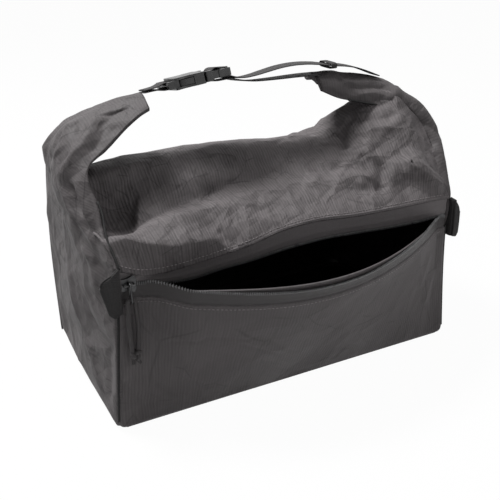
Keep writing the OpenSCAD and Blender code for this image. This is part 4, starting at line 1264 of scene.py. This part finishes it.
# %% Zip end tabs
def end_tab(name, corners, y, out, bend_at, tuck=0.0):
    """A folded tab. `corners` are X and Z of inner bottom, inner top, fold bottom and fold
    top. It goes out on its front layer, round the fold and back on the other layer. Past
    `bend_at` it turns back round the corner of the bag, and its inner end is tucked back
    into the seam by `tuck`."""
    p, v = np.meshgrid(np.linspace(0, 1, 60), np.linspace(0, 1, 40), indexing="ij")
    away = 1 - np.clip(np.abs(p - 0.5) - 0.04, 0, 1) / 0.46
    around = np.clip((p - 0.46) / 0.08, 0, 1) * np.pi
    c = np.array(corners, float)
    pinch = turned_in((1 - away) * 9, 3.4) / 25
    v = 0.5 + (v - 0.5) * (1 - 2 * pinch)
    p, v = away[..., None], v[..., None]
    xz = (1 - p) * (1 - v) * c[0] + (1 - p) * v * c[1] + p * (1 - v) * c[2] + p * v * c[3]
    x, z = xz[..., 0], xz[..., 1]
    depth = y - 1.35 * np.cos(around) + 0.25 * waves(x, z, 18, 81)
    depth = depth + 0.7 * np.clip(x * out - bend_at, 0, None) + tuck * smooth(1 - away / 0.2)
    grid = np.stack([x + out * 1.3 * np.sin(around), depth, z], -1)
    grid = grid if normals(grid)[10, 20, 1] < 0 else grid[:, ::-1]
    settle(cloth(name, grid, 1.1, (finish["webbing"],)), "webbing", "bag", name)


end_tab("zip_end_tab_left", [(-130.8, 88.5), (-131.6, 118), (-137.2, 84.6), (-142.8, 108.8)],
        -78.4, -1, 136.5)
end_tab("zip_end_tab_right", [(131.6, 88), (131.6, 118), (137.0, 86.8), (137.0, 110.5)],
        -78.0, 1, 200, tuck=5.5)

# %% [markdown]
# ## Inside
# Inside the mouth the seams are bound with folded tape: one ring round the base, and one
# strip up each corner that follows the corner as it leans in. Above them hangs the roll: the
# mouth's cloth goes round a flat stiffener three times, so it is a flattened spiral.

# %% Bindings
def rounded_ring(half_x, half_y, corner, n):
    """A rectangle with round corners: every point is pushed out to the straight sides, and
    to a circle of that radius near the corners."""
    a = np.linspace(0, 2 * np.pi, n, endpoint=False)
    c, s = np.cos(a), np.sin(a)
    return np.stack([squarer(c, 0.12) * (half_x - corner) + c * corner,
                     squarer(s, 0.12) * (half_y - corner) + s * corner], -1)


ring = np.concatenate([rounded_ring(136.4, 72.6, 5, 160), np.full((160, 1), 3.6)], 1)
binding = ribbon("base_binding", ring, (0, 0, 1), 4.0, 1.7, "webbing", closed=True)
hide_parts("base_binding")
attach(binding, "bag")
strips = []
z = np.linspace(6, 91, 30)
for sx, sy in ((-1, -1), (1, -1), (-1, 1), (1, 1)):
    edge = (left_edge(z) if sx < 0 else right_edge(z)) if sy < 0 else sx * 138.6
    line = np.stack([edge - sx * 5.0 + 0 * z, sy * 70.8 + 0 * z, z], -1)
    strips.append(ribbon(f"corner_binding_{len(strips)}", line, (sx, -sy, 0), 8.0, 1.6, "webbing"))
    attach(strips[-1], "bag")
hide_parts("corner_bindings")

# %% The roll's inner turns
turns = np.radians(np.linspace(195, 1250, 230))
xs, a = np.meshgrid(np.linspace(-88, 98, 64), turns, indexing="ij")
shrink = 5.6 * (np.degrees(a) - 180) / 360
up = np.sin(a)
roll = np.stack([xs, 3 + (29.0 - shrink) * np.cos(a),
                 140 + (22.3 - shrink) * up * np.where(up > 0, 0.6, 1)], -1)
roll[..., 2] += 0.5 * waves(xs, a * 20, 70, 91)
settle(cloth("inner_roll", roll, thin, (finish["top"], finish["inside_shade"])), "top_cloth", "bag")

# %% [markdown]
# ## Hard parts
# The buckle, the slider with its wire, and the zip's stops are moulded or cast, so the
# model's own shapes are right as they are. They take the acetal and plated finishes.

# %% Buckle, slider and stops
hard = {"moulded": ("buckle_socket", "buckle_plug", "latch_front", "latch_back", "roll_stiffener"),
        "metal": ("slider_body", "pull_wire", "zip_stops")}
for kind, names in hard.items():
    for node in names:
        for slot in nodes[node].material_slots:
            slot.material = finish[kind]
    print(kind, "on", ", ".join(names))

# %% [markdown]
# ## Floor, backdrop and light
# A pale floor carries the shadow. To the camera it is almost white, and to everything else
# it is an ordinary pale surface. The key lamp stands high on the left and a little behind:
# it lights the top and the left side and leaves the front in its own shade. A weaker lamp at
# the front right keeps that shade from going black.

# %% Studio
white = (1, 1, 1, 1)


def seen_rays(tree):
    """1 for a ray from the camera, off a mirror or through glass, and 0 for other light."""
    path = tree.nodes.new("ShaderNodeLightPath").outputs
    bent = math_node(tree, "MAXIMUM", path["Is Glossy Ray"], path["Is Transmission Ray"])
    return math_node(tree, "MAXIMUM", path["Is Camera Ray"], bent)


def either(tree, kind, share, plain, seen, output):
    """Sends out the plain shader mixed with a white `kind` of shader that rays see."""
    shown = add(tree, kind, {}, {"Color": white, "Strength": 1.0})
    both = add(tree, "ShaderNodeMixShader", {}, {
        0: times(tree, seen, share), 1: plain.outputs[0], 2: shown.outputs[0]})
    feed(tree, output, {"Surface": both.outputs[0]})


def stage_material():
    """Pale and rough, with a glow over it that makes it almost white where it is seen."""
    material, tree, shader = start_material("pale floor")
    feed(tree, shader, {"Base Color": (0.7, 0.7, 0.7, 1), "Roughness": 0.9})
    output = next(n for n in tree.nodes if n.type == "OUTPUT_MATERIAL")
    either(tree, "ShaderNodeEmission", 0.97, shader, seen_rays(tree), output)
    return material


floor_xy = np.array([(-6, -6), (6, -6), (6, 6), (-6, 6)], float) * 1000
floor = piece("floor", np.concatenate([floor_xy, np.zeros((4, 1))], 1), [[0, 1, 2, 3]],
              materials=(stage_material(),))

world = bpy.data.worlds.new("studio")
bpy.context.scene.world = world
world.use_nodes = True
tree = world.node_tree
tree.nodes.clear()
lit = add(tree, "ShaderNodeBackground", {}, {"Color": white, "Strength": 0.13})
output = tree.nodes.new("ShaderNodeOutputWorld")
either(tree, "ShaderNodeBackground", 1.0, lit, seen_rays(tree), output)


def lamp(name, place, target, size, power):
    """A square soft lamp at `place`, in metres, that faces `target`."""
    data = bpy.data.lights.new(name, "AREA")
    data.size, data.energy = size, power
    obj = bpy.data.objects.new(name, data)
    way = np.array(target, float) - np.array(place, float)
    obj.location = place
    tilt, turn = math.atan2(math.hypot(way[0], way[1]), -way[2]), math.atan2(-way[0], way[1])
    obj.rotation_euler = (tilt, 0, turn)
    bpy.context.scene.collection.objects.link(obj)


lamp("key", (-0.42, 0.45, 1.35), (0, 0, 0.1), 0.4, 31)
lamp("right fill", (1.0, -1.3, 0.9), (0, 0, 0.1), 0.6, 6)
print("studio ready")

# %% [markdown]
# ## Last settings
# The picture is shown as it is worked out, with no film look over it.

# %% Finish
bpy.context.scene.view_settings.view_transform = "Standard"
